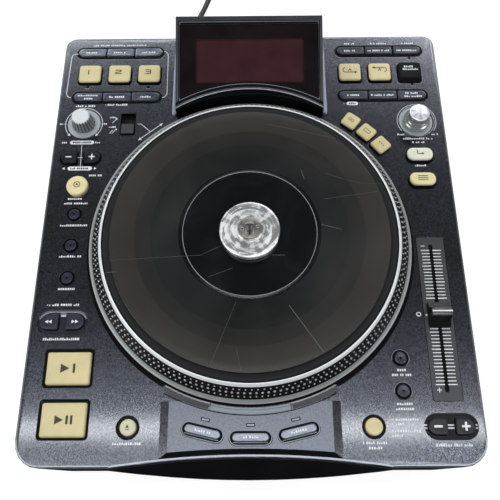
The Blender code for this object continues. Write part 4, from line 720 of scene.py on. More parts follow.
# Round the bridge's lamps and keys, black lines are painted shade of their gaps and pale lines are painted
# highlights on their edges.
bridge_lamps, bridge_edge_shade, bridge_glints = [], [], []
lamp_frost = finish("lamp_frost", (0.40, 0.41, 0.43), 0.35, drift=0.2, drift_size=2)
for angle in bridge_angles:
    turn = math.radians(angle)
    centre_x, centre_y = bridge_lamp_reach * math.sin(turn), -bridge_lamp_reach * math.cos(turn)
    lens = swung(rounded(5.4, 1.7, 0.3, steps=2), centre_x, centre_y, turn)
    bridge_lamps.append([(centre_x + (px - centre_x) * 0.8, centre_y + (py - centre_y) * 0.55)
                         for px, py in lens])
    bridge_edge_shade += stroke(lens, 0.5, True)
    key_x, key_y = bridge_key_reach * math.sin(turn), -bridge_key_reach * math.cos(turn)
    for grow, line_width, bars in ((0.4, 0.6, bridge_edge_shade), (0.95, 0.4, bridge_glints),
                                   (1.4, 0.4, bridge_edge_shade)):
        edge = swung(rounded(25 + 2 * grow, 7 + 2 * grow, 3.5 + grow - 0.01), key_x, key_y, turn)
        bars += stroke(edge, line_width, True) if grow < 0.5 else stroke(edge[:12], line_width)
print_on("bridge_lamps", bridge_lamps, bridge_top, lamp_frost, "deck")
print_on("bridge_edge_shade", bridge_edge_shade, bridge_top, black_ink_and_shade, "deck", film=0.02)
print_on("bridge_glints", bridge_glints, bridge_top, bridge_glint_pale, "deck", film=0.02)

# Pale lines along the panel's outline, its front corners and the lip over the fascia are painted highlights
# on its rounded edge.
edge_line = rounded(302.0, 335.2, (17.0, 17.0, 9.0, 9.0), 1.2, 8, y=16.0)
edge_line = [(89.5, -150.4)] + edge_line[9:] + edge_line[:9] + [(-89.5, -150.4)]
edge_sheen = finish("edge_sheen", (0.17, 0.175, 0.18), 0.35, 0.5, drift=0.2, drift_size=20)
lip_sheen = finish("lip_sheen", (0.34, 0.36, 0.39), 0.35, 0.5, drift=0.12, drift_size=10)
corner_lines = stroke(edge_line[:10], 0.8) + stroke(edge_line[-10:], 0.8)
print_on("panel_edge_highlight", stroke(edge_line, 0.6), 0, edge_sheen, "deck", film=0.02)
print_on("panel_corner_highlights", corner_lines, 0, lip_sheen, "deck")
print_on("panel_lip_highlight", bow(0, -753.1, 608.95, 81.56, 98.44, 1.1, 40), 0, lip_sheen, "deck",
         film=0.02)

# Painted shade and highlights round the platter.
# A black ring on the panel round the platter's ring is painted shade of the trough there. In front of it
# the bridge stands back; beside its ledge a pale lip line is a painted highlight and a grey band is
# painted shade between the black ring and the bridge. The raised ledge plate takes the ledge's lighter
# grey of painted light, with dark lines of painted shade on it, and a black line of painted shade runs
# along the bridge's rear edge.


def ring_part(inner, outer, start, end, steps):
    """A printed stretch of a ring between two radii and two angles, in degrees."""
    return bow(0, 0, (inner + outer) / 2, start, end, outer - inner, steps)


step_shade_grey = finish("step_shade_grey", (0.060, 0.063, 0.066), 0.5, drift=0.15, drift_size=8)
lip_highlight_grey = finish("lip_highlight_grey", (0.30, 0.31, 0.32), 0.4, 0.4, drift=0.15, drift_size=8)
for name, shapes, height, ink, film in (
    ("ring_trough", ring_part(106, 116.8, -60.5, 240.5, 150) + ring_part(106, 114.5, 240.5, 299.5, 40), 0,
     black_ink_and_shade, 0.02),
    ("bridge_ledge_plate", ring_part(115.1, 119.3, 257.3, 282.7, 20), 0, ledge_lit_grey, 1.52),
    ("bridge_ledge_lines", ring_part(116.2, 116.5, 257.3, 282.7, 20), 1.52, step_shade_grey, 0.02),
    ("bridge_shadow_line", ring_part(119.5, 120.1, 242, 298, 50), bridge_top, black_ink_and_shade, 0.02),
    ("bridge_lips", ring_part(114.5, 115.4, 241, 256.6, 14) + ring_part(114.5, 115.4, 283.4, 299, 14), 0,
     lip_highlight_grey, 0.04),
    ("bridge_steps", ring_part(115.9, 118.9, 241, 256.6, 14) + ring_part(115.9, 118.9, 283.4, 299, 14), 0,
     step_shade_grey, 0.03),
):
    print_on(name, shapes, height, ink, "deck", film=film)

# Fascia.
# The gloss black moulded chin with the disc slot, clipped into the panel's front.
gloss_black = finish("gloss_black", (0.006, 0.006, 0.007), 0.07, drift=0.2, spread=0.02,
                     edge_wear_and_shading=(0.10, 0.10, 0.10), sheen=0.12)
reface("front_fascia", [gloss_black], sharp=30)

# Key caps.
# Each cap is one moulding on its switch, with its symbol printed on it: cream or pale plastic for
# the main keys, black for the pairs, and grey lacquered plastic for the long strips of three. Many
# caps stand on a black foot, which shows round them as painted shade of their gap. The tap and list
# keys take a lighter copy of the cream, and the strips and the right round keys lit and shaded copies
# of one slate grey, as painted light. The caps' edge tints are painted highlights on the dark and grey
# caps and painted shade on the cream and pale ones.
key_cream = finish("key_cream", (0.65, 0.56, 0.295), 0.38, drift=0.06, drift_size=9, grain=0.006,
                   grain_size=0.3, edge_wear_and_shading=(0.50, 0.36, 0.13), edge=0.8)
# A lighter copy of the cream, as painted light, for the tap and list keys.
key_cream_lit = finish("key_cream_lit", (0.80, 0.70, 0.39), 0.38, drift=0.06, drift_size=9,
                          grain=0.006, grain_size=0.3, edge_wear_and_shading=(0.55, 0.40, 0.15), edge=0.8)
key_pale = finish("key_pale", (0.76, 0.76, 0.60), 0.36, drift=0.05, drift_size=9, grain=0.006,
                  edge_wear_and_shading=(0.56, 0.50, 0.30), edge=0.8)
key_black = finish("key_black", (0.011, 0.013, 0.016), 0.30, drift=0.15, drift_size=6, grain=0.008,
                   grain_size=0.25, edge_wear_and_shading=(0.055, 0.06, 0.065), edge=0.5, sheen=0.25)
key_matt = finish("key_matt", (0.006, 0.006, 0.007), 0.45, drift=0.15, drift_size=6, grain=0.008,
                  edge_wear_and_shading=(0.05, 0.055, 0.06), edge=0.5, sheen=0.08)
key_beige = finish("key_beige", (0.62, 0.59, 0.42), 0.38, drift=0.05, drift_size=9, grain=0.006,
                   edge_wear_and_shading=(0.48, 0.42, 0.24), edge=0.8)
key_navy = finish("key_navy", (0.016, 0.020, 0.034), 0.32, drift=0.15, drift_size=6, grain=0.008,
                  edge_wear_and_shading=(0.16, 0.18, 0.22), edge=0.5)
# The four strip finishes are copies of one slate grey, lighter or darker as painted light by where each
# strip lies.
key_slate = finish("key_slate", (0.075, 0.085, 0.105), 0.25, 0.7, drift=0.1, drift_size=12, grain=0.008,
                   grain_size=0.3, edge_wear_and_shading=(0.30, 0.33, 0.38), edge=0.5, spread=0.03)
key_slate_shaded = finish("key_slate_shaded", (0.042, 0.047, 0.060), 0.32, 0.6, drift=0.1, drift_size=12,
                      grain=0.008, grain_size=0.3, edge_wear_and_shading=(0.26, 0.28, 0.32), edge=0.5)
key_slate_lit_most = finish("key_slate_lit_most", (0.115, 0.130, 0.155), 0.25, 0.7, drift=0.1, drift_size=12,
                          grain=0.008, grain_size=0.3, edge_wear_and_shading=(0.34, 0.37, 0.42), edge=0.5, spread=0.03)
key_slate_shaded_most = finish("key_slate_shaded_most", (0.024, 0.027, 0.035), 0.32, 0.6, drift=0.1, drift_size=12, grain=0.008,
                  grain_size=0.3, edge_wear_and_shading=(0.22, 0.24, 0.27), edge=0.5)
symbol_dark = finish("symbol_dark", (0.045, 0.032, 0.012), 0.5, drift=0.2, drift_size=2)


def skin(bm, rings, finish_of):
    """Joins rings of points by faces, each with the finish that its level, step and place ask for."""
    for level_index, (lower, upper) in enumerate(zip(rings, rings[1:])):
        for step in range(len(lower)):
            after = (step + 1) % len(lower)
            face = bm.faces.new((lower[step], lower[after], upper[after], upper[step]))
            face.material_index = finish_of(level_index, step, face)


def add_cap(bm, outline, bottom, top, edge, hollow=0.0, coat=0):
    """One moulded cap: straight walls, a rounded edge and a top that is very slightly hollow."""
    levels = [(outline(0.0), bottom), (outline(0.0), top - edge)]
    for step in range(1, 5):
        angle = math.radians(22.5 * step)
        levels.append((outline(edge * (1 - math.cos(angle))), top - edge * (1 - math.sin(angle))))
    crown = outline(edge)
    middle = Vector((sum(x for x, y in crown) / len(crown), sum(y for x, y in crown) / len(crown)))
    for share in (0.75, 0.4):
        inner = [tuple(middle.lerp(Vector(point), share)) for point in crown]
        levels.append((inner, top - hollow * (1 - share * share)))
    rings = [[bm.verts.new((x * mm, y * mm, height * mm)) for x, y in points] for points, height in levels]
    skin(bm, rings, lambda level_index, step, face: coat)
    bm.faces.new(rings[0][::-1]).material_index = coat
    tip = bm.verts.new((middle.x * mm, middle.y * mm, (top - hollow) * mm))
    for index in range(len(rings[-1])):
        after = (index + 1) % len(rings[-1])
        bm.faces.new((rings[-1][index], rings[-1][after], tip)).material_index = coat


def make_key(name, solids, material, x, y, legend=(), ink=None, height=0.0, turn=0.0):
    """A key cap of one or more solids, with what is printed on it."""
    bm = bmesh.new()
    for solid in solids:
        add_cap(bm, *solid)
    mesh = even_out(mesh_of(bm, name + "_cap"), 30)
    place = axis + Vector((x * mm, y * mm, 0))
    fit(name + "_cap", mesh, [material, black_ink_and_shade], name, (name,), place, turn)
    if legend:
        print_on(name + "_print", legend, height - 0.10, ink, name, place, turn, film=0.13)


def plain_outline(width, depth, radii, shift=0.0, steps=5, back=0.0):
    """The outline of a cap as a rule of how far it is drawn in."""
    return lambda inset: rounded(width, depth, radii, inset, steps, x=shift, y=back)


def shade_foot(width, depth, radii, top=-0.6):
    """A black foot under a cap, which shows as a fine black line round it: painted shade of the gap round
    the key.
    """
    return plain_outline(width, depth, radii), -4.5, top, 0.1, 0.0, 1


def arrow_loop(way):
    """A bent arrow round a small letter-like mark, as on the two loop keys."""
    around = bow(-3.2 * way, 0, 1.6, 90, 270, 0.5, 12) if way > 0 else bow(3.2, 0, 1.6, -90, 90, 0.5, 12)
    return (around + stroke([(-3.2 * way, -1.6 * way), (3.6 * way, -1.6 * way)], 0.5)
            + pointer(4.0 * way, -1.6 * way, 1.2, 0 if way > 0 else 180)
            + stroke([(-0.9, -0.5), (0, 0.8), (0.9, -0.5)], 0.55))


two_shape = [(-2.1, 1.7), (1.7, 1.7), (2.1, 1.2), (1.9, 0.3), (-1.9, -0.5), (-2.1, -1.7), (2.2, -1.7)]
point_prints = [
    stroke([(0, 1.9), (0, -1.9)], 0.8), stroke(two_shape, 0.7),
    stroke([(-2.1, 1.8), (2.1, 1.8), (2.1, -1.8), (-2.1, -1.8)], 0.7) + stroke([(-1.5, 0), (2.1, 0)], 0.7),
]
square, square_shade_foot = plain_outline(17.6, 16.2, 2.6, back=0.85), shade_foot(18.1, 16.9, 2.4, 1.15)
square_solids = [square_shade_foot, (square, 1.1, 2.4, 1.2, 0.08)]
for index, legend in enumerate(point_prints):
    make_key(f"point_key_{index + 1}", square_solids, key_cream, -128.1 + key_pitch * index,
             square_row, moved(legend, -1.0, 2.0), symbol_dark, 2.4)
for index, (name, way) in enumerate((("loop_in_key", 1), ("loop_out_key", -1))):
    make_key(name, square_solids, key_cream, 80.4 + key_pitch * index, square_row,
             [[(x * 1.15, y * 1.3 + 2.2) for x, y in shape] for shape in arrow_loop(way)], symbol_dark, 2.4)
make_key("reloop_key", [square_shade_foot, (plain_outline(18.2, 16.3, 2.6, back=1.35), 1.1, 2.5, 1.3, 0.1)],
         key_matt, 128.1, square_row, rows((-4.2, 3.6, 5.0, 1.7), (-5.4, 6.6, 2.5, 1.7)),
         white_ink_and_highlight, 2.5)

third, strip_gap, strip_depth = 68.6 / 3, 0.9, 7.7
round_end = strip_depth / 2 - 0.01
end_width, end_shift = third - strip_gap / 2, third + strip_gap / 4
left_radii, right_radii = (round_end, 0.9, 0.9, round_end), (0.9, round_end, round_end, 0.9)
# The strips' black foot is painted shade of the gap round them.
strip_parts = [(plain_outline(69.5, 9.4, 4.69), -4.5, -0.7, 0.1, 0.0, 1)]
for width, radii, shift in ((end_width, left_radii, -end_shift), (third - strip_gap, 0.9, 0),
                            (end_width, right_radii, end_shift)):
    strip_parts.append((plain_outline(width, strip_depth, radii, shift, 5, 0.3), -0.8, 1.0, 0.5, 0.1))
strip_words = {"clear_key_strip": rows((-28, -18.5, 0, 1.4), (-5.5, 5.5, 0, 1.4), (17.5, 28.5, 0, 1.4)),
               "loop_key_strip": rows((-31, -14.5, 1.5, 1.4), (-25.6, -19.2, -1.5, 1.4),
                                      (-6.0, 6.2, 0, 1.6), (18.6, 27.4, 0, 1.6)),
               "time_key_strip": rows((-28, -18.5, 0, 1.5), (-8.9, 8.9, 0, 1.5), (14.5, 31.5, 0, 1.5)),
               "flip_key_strip": rows((-28, -18.8, 0, 1.6), (-9.3, 9.3, 0, 1.6), (17.8, 28.4, 1.6, 1.5),
                                      (17.0, 30.5, -1.4, 1.5))}
for (name, legend), x, y, material in zip(strip_words.items(), (-strip_x, -strip_x, strip_x, strip_x),
                                          strip_rows * 2,
                                          (key_slate_lit_most, key_slate, key_slate_shaded_most, key_slate_shaded)):
    make_key(name, strip_parts, material, x, y, legend, white_ink_and_highlight, 1.0)

minus = stroke([(-1.9, 0), (1.9, 0)], 0.9)
plus = minus + stroke([(0, -1.9), (0, 1.9)], 0.9)
wide_minus = stroke([(-2.0, 0), (2.0, 0)], 1.4)
wide_plus = wide_minus + stroke([(0, -2.0), (0, 2.0)], 1.4)
back_arrows = pointer(-1.2, 0, 1.5, 180) + pointer(1.2, 0, 1.5, 180)
forward_arrows = pointer(-1.2, 0, 1.5, 0) + pointer(1.2, 0, 1.5, 0)
left_half = plain_outline(12.5, 10.9, (5.44, 1.6, 1.6, 5.44))
right_half = plain_outline(12.5, 10.9, (1.6, 5.44, 5.44, 1.6))
loop_left = plain_outline(12.1, 9.9, (4.94, 1.6, 1.6, 4.94), back=0.5)
loop_right = plain_outline(12.1, 9.9, (1.6, 4.94, 4.94, 1.6), back=0.5)
for name, outline, legend, x, y, material in (
    ("loop_halve_key", loop_left, moved(minus, 0, 0.7), -column - pair_shift, pair_row, key_black),
    ("loop_double_key", loop_right, moved(plus, 0, 0.7), -column + pair_shift, pair_row, key_black),
    ("search_back_key", left_half, back_arrows, -column - pair_shift, search_row, key_navy),
    ("search_forward_key", right_half, forward_arrows, -column + pair_shift, search_row, key_navy),
    ("bend_down_key", left_half, wide_minus, column - pair_shift, front_row, key_black),
    ("bend_up_key", right_half, wide_plus, column + pair_shift, front_row, key_black),
):
    make_key(name, [(outline, -4.5, 1.6, 0.7, 0.1)], material, x, y, legend, white_ink_and_highlight, 1.6)

# On the search dish a grey band, pale arcs along its rear rim and a white bar on its middle web are painted
# highlights of its hollow; on the bend dish pale bars at its ends and middle are painted reflections.
dish_line = rounded(35.0, 17.4, 8.6, 0, 8)[20:34]
middle_line = [(x * 0.97, y * 0.91) for x, y in dish_line]
inner_line = [(x * 0.93, y * 0.82) for x, y in dish_line]
search_place = axis + Vector((-column_x, search_y, 0))
bend_place = axis + Vector((column_x, front_row_y, 0))
dish_sheen = finish("dish_sheen", (0.50, 0.52, 0.56), 0.3, 0.4, drift=0.3, drift_size=4)
print_on("search_dish_highlight_band", stroke(middle_line, 1.5) + stroke([(-1.3, 5.8), (1.3, 5.8)], 1.8), -1.12,
         hole_sheen, "deck", search_place, film=0.02)
print_on("search_glints", stroke(dish_line, 0.4) + stroke(inner_line, 0.5), -1.1, dish_sheen, "deck",
         search_place)
print_on("search_web_highlight", stroke([(-1.1, 4.6), (1.1, 4.6)], 1.1), -1.1, white_ink_and_highlight, "deck",
         search_place)
print_on("bend_glints",
         [bar for x, half in ((-16.3, 0.6), (0, 1.7), (16.3, 0.7)) for y in (1.0, -0.9)
          for bar in stroke([(x - half, y), (x + half, y)], 0.9)], -1.1, dish_sheen, "deck",
         bend_place)

cue_print = pointer(-2.9, 0, 3.7, 0) + stroke([(3.9, -2.3), (3.9, 2.3)], 1.5)
play_print = (pointer(-3.4, 0, 3.5, 0) + stroke([(2.5, -2.0), (2.5, 2.0)], 1.5)
              + stroke([(5.4, -2.0), (5.4, 2.0)], 1.5))
big = plain_outline(29.2, 21.8, 1.6, steps=4)
for name, y, legend in (("cue_key", cue_row, cue_print), ("play_key", play_row, play_print)):
    make_key(name, [(big, -4.5, 2.2, 1.5, 0.1)], key_cream, pad_x, y, legend, symbol_dark, 2.2)

pill_outline, pill_shade_foot = plain_outline(19.4, 10.5, 4.6, back=0.9), shade_foot(20.6, 11.6, 5.2, 1.15)
return_print = stroke([(-2.0, 3.6), (-2.0, 0.8), (1.6, 0.8)], 0.6) + pointer(2.0, 0.8, 1.2, 0)
pill_solids = [pill_shade_foot, (pill_outline, 1.1, 2.8, 1.2, 0.1)]
list_print = [bar for y in (3.0, 1.4, -0.2) for bar in stroke([(-3.4, y), (3.4, y)], 0.55)]
make_key("back_key", pill_solids, key_pale, column, pair_row, return_print, symbol_dark, 2.8)
make_key("list_key", pill_solids, key_cream_lit, column, 49.3, list_print, symbol_dark, 2.8)


def round_outline(radius, steps=8):
    """The outline of a round cap as a rule of how far it is drawn in."""
    return plain_outline(2 * radius, 2 * radius, radius * 0.9999, steps=steps)


eject_print = pointer(0, 0.6, 1.3, 90) + stroke([(-1.1, -1.1), (1.1, -1.1)], 0.45)
make_key("tap_key", [(plain_outline(16.2, 16.2, 8.09, 0.2, 10, 0.3), -4.5, 2.8, 1.4, 0.15)],
         key_cream_lit, -column, 46.1,
         moved(bow(0, 0, 2.2, 0, 360, 0.5, 24) + spot(0, 0, 0.8), 0.2, 0.9), symbol_dark, 2.8)
eject_outline = plain_outline(10.6, 10.6, 5.29, 0.35, 8)
for name, x, outline, legend, material in (("eject_key", -79.1, eject_outline, eject_print, key_beige),
                                           ("platter_mode_key", 79.1, round_outline(5.6), (), key_cream)):
    make_key(name, [(outline, -4.5, 1.6, 0.9, 0.1)], material, x, front_row, legend,
             symbol_dark, 1.6)
for name, x, y in (("echo_key", -column, 23.7), ("flanger_key", -column, -0.95),
                   ("filter_key", -column, -25.6), ("key_adjust_key", 100.0, -83.0),
                   ("pitch_range_key", 100.0, -104.5)):
    make_key(name, [(round_outline(4.1), -4.5, 1.0, 0.6, 0.25)], key_slate_shaded if x > 0 else key_navy,
             x, y, spot(0, 0, 0.75) + bow(0, 0, 3.3, 0, 360, 0.22, 24), black_ink_and_shade, 0.9)
source_prints = (bow(-1.3, 0, 1.0, 0, 360, 0.35, 14) + bow(1.3, 0, 1.0, 0, 360, 0.35, 14),
                 stroke(rounded(5.4, 2.4, 0.5, steps=3), 0.35, True),
                 spot(-2, 0, 0.5) + spot(0, 0, 0.5) + spot(2, 0, 0.5))
# The source keys' black foot is painted shade of the gap round them.
source_shade_foot, source_outline = plain_outline(11.6, 11.6, 1.6), plain_outline(12.3, 12.3, 2.2, 0.9)
for index, (degrees, legend) in enumerate(zip((52.2, 45.4, 38.6), source_prints)):
    turn = math.radians(degrees)
    legend = [[(1.5 - y, x) for x, y in shape] for shape in legend]
    make_key(f"source_key_{index + 1}",
             [(source_shade_foot, -4.5, 1.2, 0.2, 0.0, 1), (source_outline, 1.1, 2.7, 1.3, 0.08)], key_cream,
             source_reach * math.cos(turn), source_reach * math.sin(turn), legend, symbol_dark,
             2.7, turn=turn)
key_silver = finish("key_silver", (0.25, 0.27, 0.31), 0.38, 0.8, drift=0.12, drift_size=1.5, grain=0.008,
                    edge_wear_and_shading=(0.34, 0.37, 0.42), edge=0.4)
centre_outline = plain_outline(23.4, 5.2, 2.59, back=0.3)
front_wall = plain_outline(22.4, 0.5, 0.2, back=-2.85)
for name, degrees in zip(("brake_key", "dump_key", "reverse_key"), bridge_angles):
    turn = math.radians(degrees)
    make_key(name,
             [shade_foot(25.0, 7.0, 3.49, 2.9), (centre_outline, 2.0, 3.8, 0.6, 0.1),
              (front_wall, 2.5, 2.98, 0.1, 0.0)], key_silver,
             bridge_key_reach * math.sin(turn), -bridge_key_reach * math.cos(turn),
             words(-5.0, 5.2, 0.35, 1.4), white_ink_and_highlight, 3.8, turn=turn)

# Effects knob.
# A two-shot moulding: white in its crown, grey in its fluted skirt. It flares towards its foot and
# is pressed on the stem that comes up through the dial.
knob_white = finish("knob_white", (0.68, 0.72, 0.71), 0.4, drift=0.05, drift_size=4, grain=0.006)
knob_grey = finish("knob_grey", (0.22, 0.24, 0.25), 0.42, drift=0.12, drift_size=4, grain=0.008,
                   edge_wear_and_shading=(0.5, 0.52, 0.52), edge=0.3)
# The grooves' darker grey is painted shade.
knob_groove_shade = finish("knob_groove_shade", (0.07, 0.075, 0.075), 0.5, drift=0.1)
flutes, knob_points, crown_level = 20, 240, 4
fluted_levels = [(3.0, 0, -5.0), (3.0, 0, 1.4), (9.0, 0.9, 1.4), (9.0, 0.9, 2.0), (7.9, 0.9, 6.4),
                 (7.1, 0.85, 11.0), (6.95, 0.8, 11.4), (6.6, 0.7, 11.7), (5.4, 0.1, 11.66), (3.0, 0, 11.6)]
bm = bmesh.new()
fluted_rings = []
for radius, depth, height in fluted_levels:
    ring = []
    for step in range(knob_points):
        angle = 2 * math.pi * step / knob_points
        groove = max(0.0, math.cos(flutes * angle))
        reach = (radius - depth * groove) * mm
        ring.append(bm.verts.new((reach * math.cos(angle), reach * math.sin(angle), height * mm)))
    fluted_rings.append(ring)


def sort_knob(level_index, step, face):
    """Which finish a face of the knob has: its white crown, the darker grey of painted shade in a groove,
    or the grey skirt.
    """
    in_groove = math.cos(flutes * 2 * math.pi * (step + 0.5) / knob_points) > 0.45
    return 0 if level_index > crown_level else 2 if in_groove else 1


skin(bm, fluted_rings, sort_knob)
bm.faces.new(fluted_rings[0][::-1])
bm.faces.new(fluted_rings[-1])
mesh = even_out(mesh_of(bm, "effects_knob_body"), 45)
knob_place = axis + Vector((-column_x, knob_row_y, 0))
fit("effects_knob_body", mesh, [knob_white, knob_grey, knob_groove_shade], "effects_knob",
    ("effects_knob",), knob_place)

# Parameters knob on its shaft.
# Turned and polished aluminium: a domed top with a fine fan of light, as from facets, painted into its
# colour, a waist with two turned rings whose groove is painted dark as shade, and a wide foot. It is
# pressed on a steel shaft, turns and can be pushed in.


def from_axis(tree, place):
    """A place in the level plane and its distance from the object's upright axis."""
    flat = vector_arith(tree, "MULTIPLY", place, (1, 1, 0))
    return flat, vector_arith(tree, "LENGTH", flat, output="Value")


def spun_metal(name, colour, roughness, ring=0.35, depth=0.004, drift=0.12, along=0.6, fan=0.0,
               metallic=1.0, swirl=0.0):
    """Turned metal: fine rings round its axis, a streaked sheen and, if asked, a fan of light and shade
    painted into its colour and gloss round the axis.
    """
    material, tree, shader = new_material(name)
    shader.inputs["Metallic"].default_value = metallic
    shader.inputs["Anisotropic"].default_value = along
    place = object_place(tree)
    flat, reach = from_axis(tree, place)
    height = add_node(tree, "SeparateXYZ", {0: place}).outputs["Z"]
    ring_place = add_node(tree, "CombineXYZ", {"X": reach, "Y": height}).outputs[0]
    lines = noise(tree, ring_place, 1 / (ring * mm), 3.0)
    cloud = noise(tree, place, 180.0, 3.0)
    both = arith(tree, "ADD", lines, cloud)
    tone_ends = (0.6, 1.4)
    if swirl:
        way = vector_arith(tree, "NORMALIZE", flat)
        way = vector_arith(tree, "SCALE", way, Scale=1.3)
        rise = add_node(tree, "CombineXYZ",
                        {"Z": arith(tree, "MULTIPLY", reach, 1 / (2.6 * mm))}).outputs[0]
        swept = vector_arith(tree, "ADD", way, rise)
        arcs = noise(tree, swept, 1.0, 3.0, Distortion=0.6)
        arcs = remap(tree, arcs, 0.38, 0.62, -swirl, swirl)
        both = arith(tree, "ADD", both, arcs)
        wedges = noise(tree, way, 1.7, 1.0)
        wedges = remap(tree, wedges, 0.47, 0.53, -0.4 * swirl, 0.3 * swirl)
        both = arith(tree, "ADD", both, wedges)
    # A painted fan of light: colour and gloss swing brighter and darker round the axis.
    if fan:
        turned_by = add_node(tree, "TexGradient", {"Vector": flat}, gradient_type="RADIAL").outputs["Fac"]
        beats = arith(tree, "MULTIPLY", turned_by, fan * 2 * math.pi)
        wave = arith(tree, "SINE", beats)
        share = arith(tree, "MULTIPLY", wave, 0.35)
        both = arith(tree, "ADD", both, share)
    tones = add_node(tree, "ValToRGB", {"Fac": remap(tree, both, *tone_ends)})
    for stop, level_of in zip(tones.color_ramp.elements, (1 - drift, 1 + drift)):
        stop.color = (*(min(part * level_of, 1) for part in colour), 1)
    tree.links.new(tones.outputs["Color"], shader.inputs["Base Color"])
    gloss = remap(tree, both, *tone_ends, max(roughness - 0.06, 0.03), roughness + 0.06)
    tree.links.new(gloss, shader.inputs["Roughness"])
    edge = add_node(tree, "Bevel", {"Radius": 0.25 * mm}, samples=4).outputs["Normal"]
    bumps = add_node(tree, "Bump", {"Height": lines, "Distance": depth * mm, "Normal": edge}).outputs[0]
    tree.links.new(bumps, shader.inputs["Normal"])
    around = add_node(tree, "Tangent", direction_type="RADIAL", axis="Z").outputs[0]
    tree.links.new(around, shader.inputs["Tangent"])
    return material


def turned(name, profile, steps, finishes=None, closed=False):
    """A body turned round its axis from points of radius and height, in millimetres."""
    bm = bmesh.new()
    rings = []
    for radius, height in profile:
        count = 1 if radius == 0 else steps
        rings.append([bm.verts.new((radius * mm * math.cos(2 * math.pi * step / steps),
                                    radius * mm * math.sin(2 * math.pi * step / steps), height * mm))
                      for step in range(count)])
    for index in range(len(rings) if closed else len(rings) - 1):
        upper, lower = rings[index], rings[(index + 1) % len(rings)]
        for step in range(steps):
            after = (step + 1) % steps
            corners = [upper[step % len(upper)], lower[step % len(lower)], lower[after % len(lower)],
                       upper[after % len(upper)]]
            face = bm.faces.new(list(dict.fromkeys(corners)))
            face.material_index = finishes[index] if finishes else 0
    return even_out(mesh_of(bm, name), 30)


chrome_painted_fan = spun_metal("chrome_painted_fan", (0.74, 0.76, 0.78), 0.32, along=0.8, fan=7, drift=0.16, metallic=0.35)
chrome_turned = spun_metal("chrome_turned", (0.52, 0.55, 0.54), 0.2, drift=0.15, metallic=0.7)
groove_shade = finish("groove_shade", (0.05, 0.05, 0.05), 0.4, drift=0.2)
knob_profile = [(0, 13.9), (3.5, 13.86), (6.2, 13.6), (7.0, 13.4), (7.5, 13.1), (7.7, 12.6), (7.74, 10.6),
                (7.5, 10.4), (7.5, 10.0), (7.8, 9.8), (7.9, 8.0), (7.95, 6.6), (8.3, 6.3), (8.7, 5.4),
                (8.7, 5.0), (9.2, 4.6), (9.7, 4.2), (9.95, 3.8), (10.0, 3.3), (10.0, 1.4), (3.3, 1.4),
                (3.3, 7.7), (0, 7.7)]
knob_finishes = [0, 0, 0, 0, 1, 1, 2, 2, 2, 1, 1, 1, 1, 2, 1, 1, 1, 1, 1, 2, 2, 2]
mesh = turned("parameters_knob_body", knob_profile, 72, knob_finishes)
knob_place = axis + Vector((column_x, knob_row_y, 0))
fit("parameters_knob_body", mesh, [chrome_painted_fan, chrome_turned, groove_shade], "parameters_knob",
    ("parameters_knob",), knob_place)
print_on("dial_rings", bow(0, 0, 10.6, 0, 360, 0.35, 36) + bow(0, 0, 11.5, 0, 360, 0.25, 36), 0.8,
         finish("ring_shade", (0.16, 0.18, 0.18), 0.45, drift=0.2), place=knob_place, film=0.02)
shaft_steel = finish("shaft_steel", (0.55, 0.55, 0.54), 0.25, 1.0, grain=0.004)
reface("parameters_shaft", [shaft_steel])

# Direction switch.
# A black nylon slide with a face for the finger, over a cover that closes the slot below. A grey plate
# on the face is painted light.
switch_nylon = finish("switch_nylon", (0.005, 0.005, 0.006), 0.5, drift=0.12, grain=0.01, sheen=0.1)
# The face's grey is painted light.
switch_face_highlight = finish("switch_face_highlight", (0.028, 0.029, 0.031), 0.5, drift=0.15, drift_size=2)
reface("direction_switch", [switch_nylon])
switch_place = axis + Vector((-94.7 * mm, 95.8 * mm, 0))
print_on("switch_lit_face", [rounded(9.6, 8.4, 0.5)], 1.2, switch_face_highlight, "direction_switch",
         switch_place)

# Pitch fader.
# A grey printed scale plate lies in its seat in the panel. The black moulded cap has concave
# flanks, a bright inlaid ridge and a white line, and its blade goes down through the slot.
plate_grey = finish("plate_grey", (0.048, 0.052, 0.056), 0.42, 0.2, drift=0.08, grain=0.012, grain_size=0.3,
                    edge_wear_and_shading=(0.16, 0.17, 0.18), edge=0.4)
reface("fader_plate", [plate_grey])
fader_y = -53.6 * mm
fader_place = axis + Vector((column_x, fader_y, 0))
ticks = []
for first, last, count in ((-6.2, -41.6, 16), (-63.1, -100.5, 17)):
    for row in range(count):
        y = first + (last - first) * row / (count - 1) + 53.6
        long = row % 5 == (0 if first > -50 else 1)
        for side in (-1, 1):
            ticks += stroke([(side * 1.45, y), (side * (6.8 if long else 6.35), y)], 0.72 if long else 0.62)
ticks += stroke([(-6.6, 50.8), (-4.4, 50.8)], 0.6) + stroke([(-6.4, -50.4), (-3.8, -50.4)], 0.55)
ticks += stroke([(-5.1, -51.7), (-5.1, -49.1)], 0.55) + spot(-8.15, 0.1, 0.75)
print_on("fader_ticks", ticks, 0, white_ink_and_highlight, place=fader_place)
# The slot's black, down in it and along its edge on the plate, is painted shade.
print_on("fader_slot_shade", [rounded(2.9, 103.0, 1.1)], -2.6, black_ink_and_shade, "deck", fader_place,
         film=1.2)
print_on("fader_slot_edge_shade", [rounded(2.9, 104.0, 1.4)], 0, black_ink_and_shade, place=fader_place, film=0.02)
cap_black = finish("cap_black", (0.008, 0.008, 0.009), 0.3, drift=0.15, grain=0.004,
                   edge_wear_and_shading=(0.06, 0.06, 0.065), edge=0.5, sheen=0.25)
ridge_bright = finish("ridge_bright", (0.13, 0.13, 0.12), 0.4, 0.5, drift=0.15, drift_size=3)
